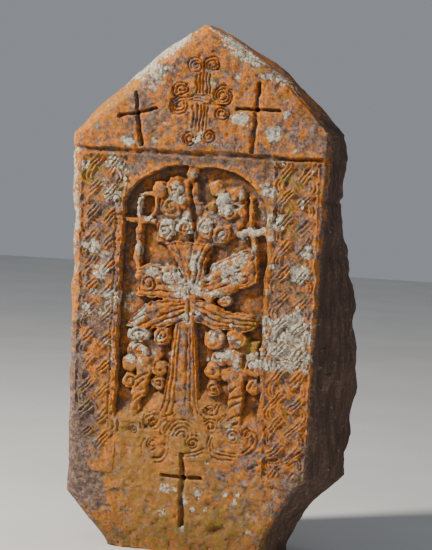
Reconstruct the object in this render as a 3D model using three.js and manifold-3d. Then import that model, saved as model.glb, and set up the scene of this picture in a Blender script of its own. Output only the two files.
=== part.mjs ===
// A khachkar: an upright memorial slab of volcanic stone, gabled at the top, rough at the sides and back,
// with a dressed front. One stone, so one mesh. The front holds three crosses in the gable, two borders
// of plaited ribbon, an arched niche with a winged cross between two small crosses, and a plain foot.
// Millimetres, +Z up. The front faces -Y. The origin is on the underside, below the middle of the front.
import * as THREE from 'three';
import { mergeVertices } from 'three/addons/utils/BufferGeometryUtils.js';
import Module from 'manifold-3d';

const wasm = await Module();
wasm.setup();

// Overall slab
const HEIGHT = 1774; // foot to the tip of the gable
const THICKNESS = 325; // front to back
const LEFT_SHOULDER_Z = 1398; // where the gable slopes start
const RIGHT_SHOULDER_Z = 1426;
const LEFT_SHOULDER = 429; // from the axis to the front edges at the shoulders
const RIGHT_SHOULDER = 432;
const LEFT_WAIST = 405; // the same above the broken corners
const RIGHT_WAIST = 407;
const APEX_X = -4; // the tip stands a little left of the axis
const APEX_HALF = 30; // half width of the blunt tip
const TIP_DROP = 32; // the corners of the tip are this much lower than the top
const TOP_LIFT = 16.5; // the gable rises this much behind its front edge
const TIP_EASE = 36; // the sides stand out less this near the tip
const LEFT_BOW = 11; // the gable edges bow out by this much at mid length
const RIGHT_BOW = 29;

// Broken lower corners
const LEFT_BREAK_Z = 172;
const RIGHT_BREAK_Z = 285;
const FOOT_LEFT = 252;
const FOOT_RIGHT = 262;

// How far the rough sides stand out behind the front edges
const FLARE_TURN_FOOT = 500; // it draws in again below this height
const FOOT_TAPER = 0.42; // by this share at the foot
const FLARE_TURN_LOW = 700; // the right side stands out fully below this height
const FLARE_TURN_TOP = 1270; // and least above this one
const LEFT_FLARE = 24; // a worn round edge, lit along its length
const ARRIS_DEPTH = 22; // the worn edge is this deep
const RIGHT_FLARE_TOP = 38;
const RIGHT_FLARE_LOW = 128;
const BACK_INSET = 55; // the back edges are drawn in by this much
const HEWN = 5; // height of the waves that hewing left on the rough sides
const BACK_FACET = 60; // how much of the back corners is knocked off

// Groove below the gable, and the plain crosses cut into the stone
const GROOVE_Z = 1342;
const GROOVE_HALF = 8;
const STROKE_HALF = 8; // half width of a cross stroke
const LEFT_CROSS = { x: -222, z: 1474, up: 66, down: 106, arm: 62, lean: -0.16 };
const RIGHT_CROSS = { x: 187, z: 1493, up: 86, down: 133, arm: 70, lean: 0.06 };
const FOOT_CROSS = { x: -13, z: 258, up: 78, down: 168, arm: 66, lean: -0.03 };

// Line-cut cross in the middle of the gable, with curled ends
const LINE_HALF = 4;
const GABLE_CROSS_X = -5;
const GABLE_CROSS_Z = 1515;
const GABLE_LINES = 12; // the two lines of an arm stand this far either side of its middle
const GABLE_CURL = 24; // radius of a curled end
const GABLE_UP = 108;
const GABLE_DOWN = 104;
const GABLE_ARM = 68;

// Plaited borders
const BORDER_CENTRE = 331; // middle of a border, either side of the axis
const BORDER_WIDTH = 138;
const BORDER_TOP = 1322;
const BORDER_BOTTOM = 258;
const BORDER_SINK = 7; // depth of the panel between its plain fillets
const PLAIT_PITCH = 84;
const STRAND_HALF = 5.6; // half width of one strand of a ribbon
const STRAND_GAP = 11.4; // from strand to strand
const STRANDS = 3;

// Arched niche
const NICHE_X = -8;
const NICHE_HALF = 248;
const NICHE_SILL = 432;
const SPRING_Z = 1130; // where the arch starts
const ARCH_RISE = 172;
const ARCH_FULLNESS = 2.3; // 2 is an ellipse, more is squarer at the haunches
const ARCH_STEPS = 24;
const NICHE_DEPTH = 36;
const SILL_RAMP_Z = 640; // below this height the floor of the niche rises towards its sill

// Relief in the niche: height of its top below the front, and its own grid
const CROSS_X = -15;
const CROSS_Z = 875;
const RELIEF_TOP = 6;
const LEAF_TOP = 9;
const SMALL_TOP = 10;
const CURL_WEAR = 11; // how far the rims of the curls are worn round
const CURL_GROOVE = 5; // half width of the spiral cut into a curl
const FOLD_HALF = 4.5; // half width of the lines cut along the arms and leaves
const FLUTE_HALF = 5;
const ROUNDEL_Z = 405;
const ROUNDEL_R = 58;

const FACE_Y = -THICKNESS / 2;
const EMBED = 12; // relief is rooted this deep behind the niche floor
const CURL_SIDES = 10;
const CURL_STEPS = 9;

// Turns a closed geometry into a solid.
function solid(geometry) {
  const bare = geometry.clone();
  bare.deleteAttribute('normal');
  bare.deleteAttribute('uv');
  const merged = mergeVertices(bare, 1e-4);
  return new wasm.Manifold(new wasm.Mesh({
    numProp: 3,
    vertProperties: merged.attributes.position.array,
    triVerts: new Uint32Array(merged.index.array),
  }));
}

const join = (list) => list.reduce((all, one) => all.add(one));
// 0 before the first value, 1 after the second, smooth between; the first may be the larger.
const ramp = (from, to, value) => THREE.MathUtils.smoothstep((value - from) / (to - from), 0, 1);

// The two sides of the dressed front: a broken corner at the foot, a straight edge, a bowed gable edge.
const LEFT = {
  sign: -1, foot: FOOT_LEFT, breakZ: LEFT_BREAK_Z, bend: 1.15,
  waist: LEFT_WAIST, shoulder: LEFT_SHOULDER, shoulderZ: LEFT_SHOULDER_Z, bow: LEFT_BOW,
};
const RIGHT = {
  sign: 1, foot: FOOT_RIGHT, breakZ: RIGHT_BREAK_Z, bend: 1.7,
  waist: RIGHT_WAIST, shoulder: RIGHT_SHOULDER, shoulderZ: RIGHT_SHOULDER_Z, bow: RIGHT_BOW,
};

// The front edge of one side at a height below its shoulder.
function edgeAt(z, { foot, waist, shoulder, breakZ, shoulderZ, bend }) {
  if (z < breakZ) return foot + (waist - foot) * (z / breakZ) ** bend;
  return waist + (shoulder - waist) * ((z - breakZ) / (shoulderZ - breakZ)) ** 1.6;
}

// The edge of one side from the foot to the tip.
function edgePoints(side) {
  const corner = [0, 0.3, 0.6, 0.85, 1].map((t) => t * side.breakZ);
  const wall = [1, 2, 3, 4, 5, 6, 7, 8].map((i) => side.breakZ + (side.shoulderZ - side.breakZ) * i / 8);
  const points = [...corner, ...wall].map((z) => new THREE.Vector2(side.sign * edgeAt(z, side), z));
  const shoulder = points.at(-1);
  const tip = new THREE.Vector2(APEX_X + side.sign * APEX_HALF, HEIGHT - TIP_DROP);
  const out = tip.clone().sub(shoulder).rotateAround(new THREE.Vector2(), -side.sign * Math.PI / 2).normalize();
  for (const t of [0.07, 0.24, 0.42, 0.6, 0.78, 1]) {
    points.push(shoulder.clone().lerp(tip, t).addScaledVector(out, side.bow * Math.sin(Math.PI * t)));
  }
  return points;
}

// The outline of the front, up the right side, over the tip and down the left.
function frontOutline() {
  const tip = new THREE.Vector2(APEX_X, HEIGHT - TOP_LIFT);
  return [...edgePoints(RIGHT), tip, ...edgePoints(LEFT).reverse()];
}

// How far a side stands out at a depth (0 front, 1 back) and height.
function rightFlare(depth, z) {
  const low = RIGHT_FLARE_LOW * (1 - FOOT_TAPER * ramp(FLARE_TURN_FOOT, 0, z));
  const most = THREE.MathUtils.lerp(low, RIGHT_FLARE_TOP, ramp(FLARE_TURN_LOW, FLARE_TURN_TOP, z));
  return depth < 0.5
    ? most * Math.sin(depth * Math.PI) ** 0.8
    : most - (most * 0.35 + BACK_INSET * 0.4) * ramp(0.5, 1, depth);
}

function leftFlare(depth) {
  return LEFT_FLARE * ramp(0, ARRIS_DEPTH / THICKNESS, depth) - BACK_INSET * ramp(0.35, 1, depth);
}

function topFlare(depth) {
  return TOP_LIFT * ramp(0, 0.16, depth) - BACK_INSET * 0.8 * ramp(0.45, 1, depth);
}

// Waves left by hewing, the same for every point at one place.
function hewn(z, depth, side) {
  const fade = ramp(0, 0.2, depth);
  return HEWN * fade * (Math.sin(z * 0.017 + depth * 5 + side) + Math.sin(z * 0.041 - depth * 9 + 2 * side));
}

// The undressed stone behind the front: the outline carried back in steps that widen with depth.
function roughBlock() {
  const steps = 7;
  const block = new THREE.ExtrudeGeometry(new THREE.Shape(frontOutline()), {
    depth: 1, steps, bevelEnabled: false,
  });
  const place = block.attributes.position;
  for (let i = 0; i < place.count; i += 1) {
    const x = place.getX(i);
    const z = place.getY(i);
    const step = Math.round(place.getZ(i) * steps);
    const depth = step < 2
      ? step * ARRIS_DEPTH / THICKNESS
      : THREE.MathUtils.lerp(ARRIS_DEPTH / THICKNESS, 1, ((step - 1) / (steps - 1)) ** 1.2);
    const side = x > APEX_X ? RIGHT : LEFT;
    const inGable = ramp(side.shoulderZ - 60, HEIGHT, z);
    const flare = side === RIGHT ? rightFlare(depth, z) * (1 - 0.4 * inGable) : leftFlare(depth);
    const onTip = Math.min(1, Math.abs(x - APEX_X) / TIP_EASE);
    const out = (flare + hewn(z, depth, side.sign)) * onTip;
    const lift = z > 0 ? topFlare(depth) * inGable : 0;
    place.setXYZ(i, x + side.sign * out, FACE_Y + depth * THICKNESS, z + lift);
  }
  return solid(flipped(block.index ? block.toNonIndexed() : block));
}

// Swapping Y and Z mirrors the block, so its triangles are turned round.
function flipped(geometry) {
  const place = geometry.attributes.position.array;
  for (let i = 0; i < place.length; i += 9) {
    for (let k = 0; k < 3; k += 1) {
      [place[i + 3 + k], place[i + 6 + k]] = [place[i + 6 + k], place[i + 3 + k]];
    }
  }
  return geometry;
}

// A slab of waste knocked off the back: everything beyond a plane through a point.
function waste(x, z, turn, tilt) {
  const size = 2 * HEIGHT;
  const box = new THREE.BoxGeometry(size, size, size).translate(0, size / 2, 0);
  box.rotateX(tilt).rotateZ(turn);
  box.translate(x, THICKNESS / 2, z);
  return solid(box);
}

function knockedBack() {
  const reach = RIGHT_SHOULDER - BACK_FACET;
  return join([
    waste(reach * 0.72, HEIGHT * 0.5, -0.42, 0.05),
    waste(-reach * 0.86, HEIGHT * 0.45, 0.46, -0.04),
    waste(0, HEIGHT * 0.72, 0.03, 0.16),
    waste(0, HEIGHT * 0.16, -0.02, -0.1),
  ]);
}

// Extrudes an outline drawn on the front, from one depth below the front to another.
function panel(points, top, bottom, holes = []) {
  const shape = points instanceof THREE.Shape ? points : new THREE.Shape(points);
  shape.holes.push(...holes);
  const geometry = new THREE.ExtrudeGeometry(shape, {
    depth: bottom - top, bevelEnabled: false, curveSegments: 10,
  });
  return solid(geometry.rotateX(Math.PI / 2).translate(0, FACE_Y + bottom, 0));
}

// A bar of square section set on edge along a route on the front: a groove when cut, a ridge when joined.
function bar(points, half, level, steps = points.length - 1) {
  const square = new THREE.Shape([
    new THREE.Vector2(half, 0), new THREE.Vector2(0, half),
    new THREE.Vector2(-half, 0), new THREE.Vector2(0, -half),
  ]);
  const route = points.map(([x, z]) => new THREE.Vector3(x, z, 0));
  const path = route.length === 2
    ? new THREE.LineCurve3(route[0], route[1])
    : new THREE.CatmullRomCurve3(route);
  const geometry = new THREE.ExtrudeGeometry(square, { steps, extrudePath: path, bevelEnabled: false });
  return solid(geometry.rotateX(Math.PI / 2).translate(0, FACE_Y + level, 0));
}

// A round boss whose top edge is worn, rooted behind the niche floor.
function boss(x, z, radius, top, squash = 1) {
  const worn = Math.min(CURL_WEAR, radius * 0.4);
  const foot = NICHE_DEPTH + EMBED;
  const profile = [
    [0, 0], [radius, 0], [radius, foot - top - worn], [radius - worn, foot - top], [0, foot - top],
  ].map(([r, h]) => new THREE.Vector2(r, h));
  const geometry = new THREE.LatheGeometry(profile, CURL_SIDES);
  geometry.rotateX(Math.PI).scale(1, 1, squash);
  return solid(geometry.translate(x, FACE_Y + foot, z));
}

// Points of a spiral that winds in from a radius to a quarter of it.
function spiral(x, z, radius, start, turns, squash = 1, steps = CURL_STEPS) {
  return Array.from({ length: steps + 1 }, (_, i) => {
    const t = i / steps;
    const angle = start + turns * 2 * Math.PI * t;
    const r = radius * THREE.MathUtils.lerp(1, 0.26, t);
    return [x + r * Math.cos(angle), z + squash * r * Math.sin(angle)];
  });
}

// Curls of the winged cross and its leaves: place from the cross centre, radius, level, spiral start and turns.
const CURLS = [
  // the head of the cross, lower row
  { x: -95, z: 210, r: 38, top: RELIEF_TOP, start: 1.2, turns: 1.3 },
  { x: -31, z: 222, r: 33, top: RELIEF_TOP, start: 2.6, turns: -1.3 },
  { x: 39, z: 221, r: 33, top: RELIEF_TOP, start: 0.4, turns: 1.3 },
  { x: 99, z: 208, r: 38, top: RELIEF_TOP, start: 1.9, turns: -1.2 },
  // the head of the cross, upper row
  { x: -82, z: 288, r: 40, top: LEAF_TOP, start: 1.8, turns: 1.3 },
  { x: 118, z: 290, r: 38, top: RELIEF_TOP, start: 0.6, turns: 1.2 },
  { x: -125, z: 342, r: 33, top: LEAF_TOP },
  { x: -66, z: 358, r: 34, top: LEAF_TOP },
  { x: 74, z: 352, r: 30, top: LEAF_TOP },
  { x: 140, z: 335, r: 32, top: LEAF_TOP },
  // ends of the left and right arms
  { x: -76, z: 50, r: 46, top: RELIEF_TOP, start: 0.8, turns: -1.3 },
  { x: -150, z: 25, r: 40, top: RELIEF_TOP, start: 2.2, turns: 1.3 },
  { x: -150, z: 70, r: 26, top: LEAF_TOP },
  { x: 128, z: 78, r: 48, top: LEAF_TOP },
  { x: 182, z: 110, r: 36, top: LEAF_TOP },
  { x: 182, z: 58, r: 36, top: LEAF_TOP },
  { x: 118, z: -20, r: 28, top: LEAF_TOP },
  // upper leaves
  { x: -170, z: -147, r: 46, top: RELIEF_TOP, squash: 0.72, start: 2.4, turns: 1.3 },
  { x: -88, z: -148, r: 37, top: RELIEF_TOP, start: 1.2, turns: -1.3 },
  { x: 85, z: -147, r: 41, top: RELIEF_TOP, start: 1.6, turns: 1.2 },
  { x: 166, z: -140, r: 44, top: RELIEF_TOP, squash: 0.84, start: 2.4, turns: -1.3 },
  // lower leaves
  { x: -165, z: -206, r: 32, top: LEAF_TOP },
  { x: -203, z: -252, r: 32, top: LEAF_TOP },
  { x: -200, z: -302, r: 29, top: LEAF_TOP, start: 3.4, turns: 1.2 },
  { x: -97, z: -302, r: 27, top: LEAF_TOP, start: 0.2, turns: 1.2 },
  { x: -100, z: -254, r: 31, top: LEAF_TOP },
  { x: -150, z: -250, r: 38, top: LEAF_TOP },
  { x: 112, z: -206, r: 34, top: LEAF_TOP },
  { x: 165, z: -204, r: 30, top: LEAF_TOP },
  { x: 95, z: -256, r: 32, top: LEAF_TOP },
  { x: 97, z: -312, r: 30, top: LEAF_TOP, start: 3.2, turns: 1.3 },
  { x: 146, z: -258, r: 32, top: LEAF_TOP },
  { x: 228, z: -234, r: 36, top: LEAF_TOP },
  { x: 232, z: -292, r: 28, top: LEAF_TOP, start: 3.4, turns: 1.2 },
];

// Scrolls either side of the roundel at the foot: place from its centre.
const SCROLLS = [
  { x: 175, z: -13, r: 34, start: 0.5, turns: 1.4 },
  { x: 97, z: -23, r: 30, start: 2.5, turns: -1.2 },
  { x: -89, z: -20, r: 32, start: 0.6, turns: 1.2 },
];

const fromCross = (x, z) => new THREE.Vector2(CROSS_X + x, CROSS_Z + z);

// The arms widen away from the crossing, and two broad leaves spring from below them.
function crossArms() {
  const outlines = [
    [[-31, 20], [33, 20], [77, 175], [-111, 175]], // head
    [[0, -25], [0, 40], [-45, 87], [-125, 93], [-192, 70], [-189, -17], [-135, -30]], // left arm
    [[-10, -25], [75, -14], [140, -3], [175, 18], [228, 45], [229, 125], [219, 160],
      [175, 165], [125, 130], [77, 110], [55, 78], [-10, 40]], // right arm
    [[0, -10], [-135, -29], [-190, -70], [-222, -120], [-140, -140], [-50, -112], [0, -105]], // left leaf
    [[0, -10], [0, -105], [40, -100], [100, -120], [200, -118], [248, -110], [245, -45],
      [165, -50], [122, -45], [75, -13]], // right leaf
  ];
  return outlines.map((outline) => relief(outline, RELIEF_TOP));
}

// Lines cut along the arms and the broad leaves.
function folds() {
  const routes = [
    [[20, 34], [44, 110], [66, 168]], [[-2, 46], [0, 168]], [[-22, 34], [-56, 110], [-98, 168]],
    [[-22, 8], [-110, 0], [-184, 14]], [[-26, 34], [-96, 52], [-186, 44]],
    [[52, 44], [130, 78], [218, 138]], [[56, 14], [150, 44], [222, 84]],
    [[-20, -34], [-110, -58], [-204, -108]], [[-16, -62], [-80, -90], [-150, -130]],
    [[28, -38], [130, -74], [240, -80]], [[22, -68], [80, -98], [196, -106]],
  ];
  return routes.map((route) => bar(route.map(([x, z]) => [CROSS_X + x, CROSS_Z + z]), FOLD_HALF, RELIEF_TOP, 4));
}

// Stone left standing at half depth behind the curls.
function backing() {
  const outlines = [
    [[-131, 160], [-137, 315], [-108, 362], [-48, 384], [-10, 384], [-10, 160]],
    [[-10, 160], [112, 160], [172, 235], [182, 322], [142, 362], [82, 362], [92, 330], [50, 285], [12, 330]],
    [[-150, -255], [-222, -300], [-222, -200], [-185, -150], [-70, -150], [-88, -240], [-80, -300]],
    [[70, -330], [84, -140], [250, -140], [254, -300], [205, -290], [160, -260]],
  ];
  return outlines.map((outline) => relief(outline, NICHE_DEPTH * 0.5));
}

// An outline drawn from the crossing, rooted behind the niche floor.
function relief(outline, top) {
  return panel(sorted(outline).map(([x, z]) => fromCross(x, z)), top, NICHE_DEPTH + EMBED);
}

// The niche floor rises towards the sill.
function sillRamp() {
  const rise = new THREE.Shape([
    new THREE.Vector2(NICHE_DEPTH, SILL_RAMP_Z), new THREE.Vector2(NICHE_DEPTH * 0.35, NICHE_SILL - EMBED),
    new THREE.Vector2(NICHE_DEPTH + EMBED, NICHE_SILL - EMBED), new THREE.Vector2(NICHE_DEPTH + EMBED, SILL_RAMP_Z),
  ]);
  const width = 2 * NICHE_HALF + 2 * EMBED;
  const geometry = new THREE.ExtrudeGeometry(rise, { depth: width, bevelEnabled: false });
  geometry.applyMatrix4(new THREE.Matrix4().set(
    0, 0, 1, NICHE_X - width / 2,
    1, 0, 0, FACE_Y,
    0, 1, 0, 0,
    0, 0, 0, 1,
  ));
  return solid(geometry);
}

// Counter-clockwise order, as an outline needs.
function sorted(outline) {
  return THREE.ShapeUtils.area(outline.map(([x, z]) => ({ x, y: z }))) < 0
    ? [...outline].reverse() : outline;
}

// The long flared foot of the cross: half widths by height below the crossing.
function footHalf(drop) {
  return 34 + 30 * (drop / 350) + 62 * Math.max(0, (drop - 330) / 115) ** 1.6;
}

const FOOT_DROP = CROSS_Z - NICHE_SILL + 10;

function crossFoot() {
  const drops = [0, 0.3, 0.6, 0.76, 0.86, 0.93, 1].map((t) => t * FOOT_DROP);
  const side = (sign) => drops.map((drop) =>
    fromCross(sign * footHalf(drop) - 4 * drop / FOOT_DROP, -drop));
  return panel([...side(-1), ...side(1).reverse()], RELIEF_TOP, NICHE_DEPTH + EMBED);
}

// Flutes that follow the flare of the foot.
function footFlutes() {
  const shares = [-0.72, -0.46, 0.46, 0.72];
  const drops = [110, 200, 290, 350, 385];
  return shares.map((share) => bar(
    drops.map((drop) => [CROSS_X + share * footHalf(drop), CROSS_Z - drop]),
    FLUTE_HALF, RELIEF_TOP,
  ));
}

// A stroke of even width from one point to another, rooted behind the niche floor.
function stroke(from, to, width, top) {
  const a = new THREE.Vector2(...from);
  const b = new THREE.Vector2(...to);
  const across = b.clone().sub(a).rotateAround(new THREE.Vector2(), Math.PI / 2).setLength(width / 2);
  const corners = [a.clone().sub(across), b.clone().sub(across), b.clone().add(across), a.clone().add(across)];
  return panel(corners, top, NICHE_DEPTH + EMBED);
}

// The two small crosses beside the head, the tie to the arch, and the stems of the leaves.
function smallCrosses() {
  const leftWall = NICHE_X - NICHE_HALF - EMBED;
  const rightWall = NICHE_X + NICHE_HALF + EMBED;
  const ring = new THREE.Shape().absellipse(-177, 1162, 44, 50, 0, 2 * Math.PI);
  const eye = new THREE.Path().absellipse(-176, 1162, 17, 31, 0, 2 * Math.PI);
  return [
    panel(ring, SMALL_TOP, NICHE_DEPTH + EMBED, [eye]),
    stroke([leftWall, 1111], [-150, 1111], 24, SMALL_TOP),
    stroke([-204, 1120], [-202, 950], 32, SMALL_TOP),
    stroke([182, 1205], [186, 1080], 27, SMALL_TOP),
    stroke([140, 1083], [rightWall, 1094], 32, SMALL_TOP),
    stroke([188, 1090], [206, 950], 29, SMALL_TOP),
  ];
}

function tieAndStems() {
  return [
    stroke([-32, SPRING_Z + ARCH_RISE + EMBED], [-18, 1080], 38, LEAF_TOP),
    stroke([-158, 625], [-196, NICHE_SILL - EMBED], 47, LEAF_TOP),
    stroke([165, 625], [152, NICHE_SILL - EMBED], 50, LEAF_TOP),
  ];
}

function curls() {
  return CURLS.map((c) => boss(CROSS_X + c.x, CROSS_Z + c.z, c.r, c.top, c.squash));
}

function curlGrooves() {
  return CURLS.filter((c) => c.turns).map((c) => bar(
    spiral(CROSS_X + c.x, CROSS_Z + c.z, 0.72 * c.r, c.start, c.turns, c.squash), CURL_GROOVE, c.top,
  ));
}

// The hollow under the arch.
function niche() {
  const shape = new THREE.Shape();
  shape.moveTo(NICHE_X - NICHE_HALF, NICHE_SILL);
  shape.lineTo(NICHE_X + NICHE_HALF, NICHE_SILL);
  shape.lineTo(NICHE_X + NICHE_HALF, SPRING_Z);
  for (let i = 1; i <= ARCH_STEPS; i += 1) {
    const angle = Math.PI * i / ARCH_STEPS;
    const full = 2 / ARCH_FULLNESS;
    shape.lineTo(
      NICHE_X + NICHE_HALF * Math.sign(Math.cos(angle)) * Math.abs(Math.cos(angle)) ** full,
      SPRING_Z + ARCH_RISE * Math.sin(angle) ** full,
    );
  }
  shape.closePath();
  return panel(shape, -EMBED, NICHE_DEPTH);
}

// The rings of the roundel, cut at the level of the stone they cross.
function rings(shares, level) {
  const arc = (r) => Array.from({ length: 8 }, (_, i) => {
    const angle = Math.PI * (i / 7 * 1.3 - 0.15);
    return [CROSS_X + 8 + r * Math.cos(angle), ROUNDEL_Z + r * Math.sin(angle)];
  });
  return shares.map((share) => bar(arc(share * ROUNDEL_R), LINE_HALF, level));
}

// Rings and scrolls cut into the stone below the niche.
function footScrolls() {
  return [
    ...rings([0.4, 0.68, 0.96], 0),
    ...SCROLLS.map(({ x, z, r, start, turns }) =>
      bar(spiral(CROSS_X + x, ROUNDEL_Z + z, r, start, turns), LINE_HALF, 0)),
  ];
}

// A plain cross of three cut strokes.
function cutCross({ x, z, up, down, arm, lean }) {
  return [
    bar([[x + up * lean, z + up], [x - down * lean, z - down]], STROKE_HALF, 0),
    bar([[x - arm, z - arm * lean], [x + arm, z + arm * lean * 0.4]], STROKE_HALF * 0.9, 0),
  ];
}

// The gable cross: three lines along each arm, the outer two curling outwards at the end.
function gableCross() {
  const arms = [
    { turn: Math.PI / 2, reach: GABLE_UP }, { turn: -Math.PI / 2, reach: GABLE_DOWN },
    { turn: 0, reach: GABLE_ARM }, { turn: Math.PI, reach: GABLE_ARM },
  ];
  const lines = [];
  for (const { turn, reach } of arms) {
    const place = ([along, across]) => [
      GABLE_CROSS_X + along * Math.cos(turn) - across * Math.sin(turn),
      GABLE_CROSS_Z + along * Math.sin(turn) + across * Math.cos(turn),
    ];
    lines.push(bar([[GABLE_LINES * 1.2, 0], [reach * 0.8, 0]].map(place), LINE_HALF * 0.8, 0));
    for (const side of [-1, 1]) {
      const run = [[GABLE_LINES * 1.4, side * GABLE_LINES], [reach * 0.6, side * GABLE_LINES]];
      const offset = side * (GABLE_LINES + GABLE_CURL);
      const curl = spiral(reach, offset, GABLE_CURL, -side * Math.PI / 2, side * 1.3);
      lines.push(bar([...run, ...curl].map(place), LINE_HALF, 0));
    }
  }
  return lines;
}

// One plaited border: a sunk panel, and three strands over each crossing of its ribbons.
function border(side) {
  const centre = side * BORDER_CENTRE;
  const corners = [
    [centre - BORDER_WIDTH / 2, BORDER_BOTTOM], [centre + BORDER_WIDTH / 2, BORDER_BOTTOM],
    [centre + BORDER_WIDTH / 2, BORDER_TOP], [centre - BORDER_WIDTH / 2, BORDER_TOP],
  ].map(([x, z]) => new THREE.Vector2(x, z));
  const column = BORDER_WIDTH / 4;
  const along = new THREE.Vector2(column, PLAIT_PITCH / 2).normalize();
  const half = 0.55 * Math.hypot(column, PLAIT_PITCH / 2);
  const rows = Math.floor((BORDER_TOP - BORDER_BOTTOM) / PLAIT_PITCH);
  const slack = (BORDER_TOP - BORDER_BOTTOM - rows * PLAIT_PITCH) / 2;
  const strands = [];
  for (let row = 0; row <= 2 * rows; row += 1) {
    for (const col of row % 2 ? [0] : [-1, 1]) {
      const lean = col === 0 ? -1 : 1;
      const z = BORDER_BOTTOM + slack + row * PLAIT_PITCH / 2;
      const x = centre + col * column;
      const reach = Math.min(half, (z - BORDER_BOTTOM) / along.y, (BORDER_TOP - z) / along.y);
      for (let k = 0; k < STRANDS && reach > STRAND_GAP; k += 1) {
        const shift = (k - (STRANDS - 1) / 2) * STRAND_GAP;
        const cx = x - lean * along.y * shift;
        const cz = z + along.x * shift;
        strands.push(bar([
          [cx - lean * along.x * reach, cz - along.y * reach],
          [cx + lean * along.x * reach, cz + along.y * reach],
        ], STRAND_HALF, BORDER_SINK));
      }
    }
  }
  return { sunk: panel(corners, -EMBED, BORDER_SINK), strands };
}

function khachkar() {
  const left = border(-1);
  const right = border(1);
  const carved = join([
    sillRamp(), ...backing(), ...crossArms(), crossFoot(), ...smallCrosses(), ...tieAndStems(), ...curls(),
  ]);
  const upperRings = rings([0.68, 0.96], RELIEF_TOP);
  const inNiche = join([...curlGrooves(), ...folds(), ...footFlutes(), ...upperRings]).intersect(niche());
  const cuts = join([
    inNiche, ...footScrolls(), ...gableCross(),
    ...[LEFT_CROSS, RIGHT_CROSS, FOOT_CROSS].flatMap(cutCross),
    bar([[-LEFT_SHOULDER, GROOVE_Z], [RIGHT_SHOULDER * 1.1, GROOVE_Z - 6]], GROOVE_HALF, 0),
  ]);
  const block = roughBlock().subtract(knockedBack());
  return block
    .subtract(niche()).subtract(left.sunk).subtract(right.sunk)
    .add(carved.intersect(roughBlock()))
    .add(join([...left.strands, ...right.strands]).intersect(roughBlock()))
    .subtract(cuts);
}

function toGeometry(made) {
  const mesh = made.getMesh();
  const geometry = new THREE.BufferGeometry();
  geometry.setAttribute('position', new THREE.BufferAttribute(new Float32Array(mesh.vertProperties), 3));
  geometry.setIndex(new THREE.BufferAttribute(new Uint32Array(mesh.triVerts), 1));
  geometry.computeVertexNormals();
  return geometry;
}

const stone = new THREE.MeshStandardMaterial({ color: 0xb4692e, roughness: 0.95, metalness: 0 });
const slab = new THREE.Mesh(toGeometry(khachkar()), stone);
slab.name = 'khachkar_stone';

const group = new THREE.Group();
group.add(slab);
export default group;
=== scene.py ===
"""A khachkar, an upright carved memorial slab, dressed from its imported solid.

The stone is one closed mesh. Its body follows the same sizes as the solid: a worn left edge, a rough right
side that stands out behind the front, a bowed gable and broken lower corners. The front is a height map
in millimetres, cut in the order a carver would work: the panels are sunk, the niche is hollowed round the
cross and its leaves, and the strands, folds, curls and strokes are cut last. A Geometry Nodes tree then
roughens the surface, and a second one grows the thick lichen crusts.
"""
import math

import bpy
import numpy as np
from mathutils import Matrix, Vector


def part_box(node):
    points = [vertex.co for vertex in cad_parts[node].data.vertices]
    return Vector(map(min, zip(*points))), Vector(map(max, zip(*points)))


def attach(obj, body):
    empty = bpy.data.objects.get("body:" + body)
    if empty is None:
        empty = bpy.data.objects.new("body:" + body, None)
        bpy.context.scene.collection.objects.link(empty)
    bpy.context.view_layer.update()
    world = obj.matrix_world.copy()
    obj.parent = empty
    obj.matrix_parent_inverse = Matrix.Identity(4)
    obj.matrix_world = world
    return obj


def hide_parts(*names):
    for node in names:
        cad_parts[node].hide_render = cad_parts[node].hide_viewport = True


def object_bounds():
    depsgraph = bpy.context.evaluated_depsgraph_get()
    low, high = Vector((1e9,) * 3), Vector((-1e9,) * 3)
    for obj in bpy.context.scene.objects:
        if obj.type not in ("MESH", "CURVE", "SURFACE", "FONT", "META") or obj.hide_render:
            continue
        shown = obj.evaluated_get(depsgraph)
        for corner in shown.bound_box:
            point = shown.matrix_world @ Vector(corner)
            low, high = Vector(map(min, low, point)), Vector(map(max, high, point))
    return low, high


bl_info = {
    "name": "Khachkar",
    "version": (1, 0, 0),
    "blender": (4, 5, 0),
    "location": "View3D > Sidebar > Khachkar",
    "description": "Builds a weathered carved cross-stone on its packed frame",
    "category": "Add Mesh",
}

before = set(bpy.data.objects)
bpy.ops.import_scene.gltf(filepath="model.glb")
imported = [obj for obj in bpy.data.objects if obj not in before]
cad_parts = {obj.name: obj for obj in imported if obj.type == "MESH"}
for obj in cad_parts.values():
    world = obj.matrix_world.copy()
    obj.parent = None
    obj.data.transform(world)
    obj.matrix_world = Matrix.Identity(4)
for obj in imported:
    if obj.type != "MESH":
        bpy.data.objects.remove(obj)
CAD_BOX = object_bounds()
NODE = "khachkar_stone"
MM = 0.001

# Sizes of the slab in millimetres, as the solid has them
(BOX_LOW, BOX_HIGH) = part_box(NODE)
THICKNESS = (BOX_HIGH[1] - BOX_LOW[1]) / MM
FACE_Y = BOX_LOW[1] / MM
HEIGHT = 1774.0
APEX_X = -4.0
APEX_HALF = 30.0
TIP_DROP = 32.0
TOP_LIFT = 16.5
TIP_EASE = 36.0
TIP_Z = HEIGHT - TIP_DROP
TOP_Z = HEIGHT - TOP_LIFT - 0.5
TOP_HALF = 11.0
MOST_INWARD = 0.75  # share of the way to the axis that a side may turn in behind the tip
HEWN = 5.0
BACK_INSET = 55.0
LEFT_FLARE = 24.0
RIGHT_FLARE_TOP = 38.0
RIGHT_FLARE_LOW = 128.0
FLARE_TURN_FOOT = 500.0
FOOT_TAPER = 0.42
FLARE_TURN_LOW = 700.0
FLARE_TURN_TOP = 1270.0
SIDE_TURN = 1.25  # how late the rough side swells out behind the front edge, where 1 follows a sine
BEVEL_ROUND = 1.5  # 1 would be a flat bevel, 2 a quarter round
BEVEL_INNER = (20, 34)  # where the bevel starts, in from the left edge, and how much more on the gable
BEVEL_DEEP = (28, 22)  # how deep it goes, and how much deeper on the gable
GABLE_TURN = (1385, 1440)  # between these heights the wear of the walls becomes that of the slopes
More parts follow.
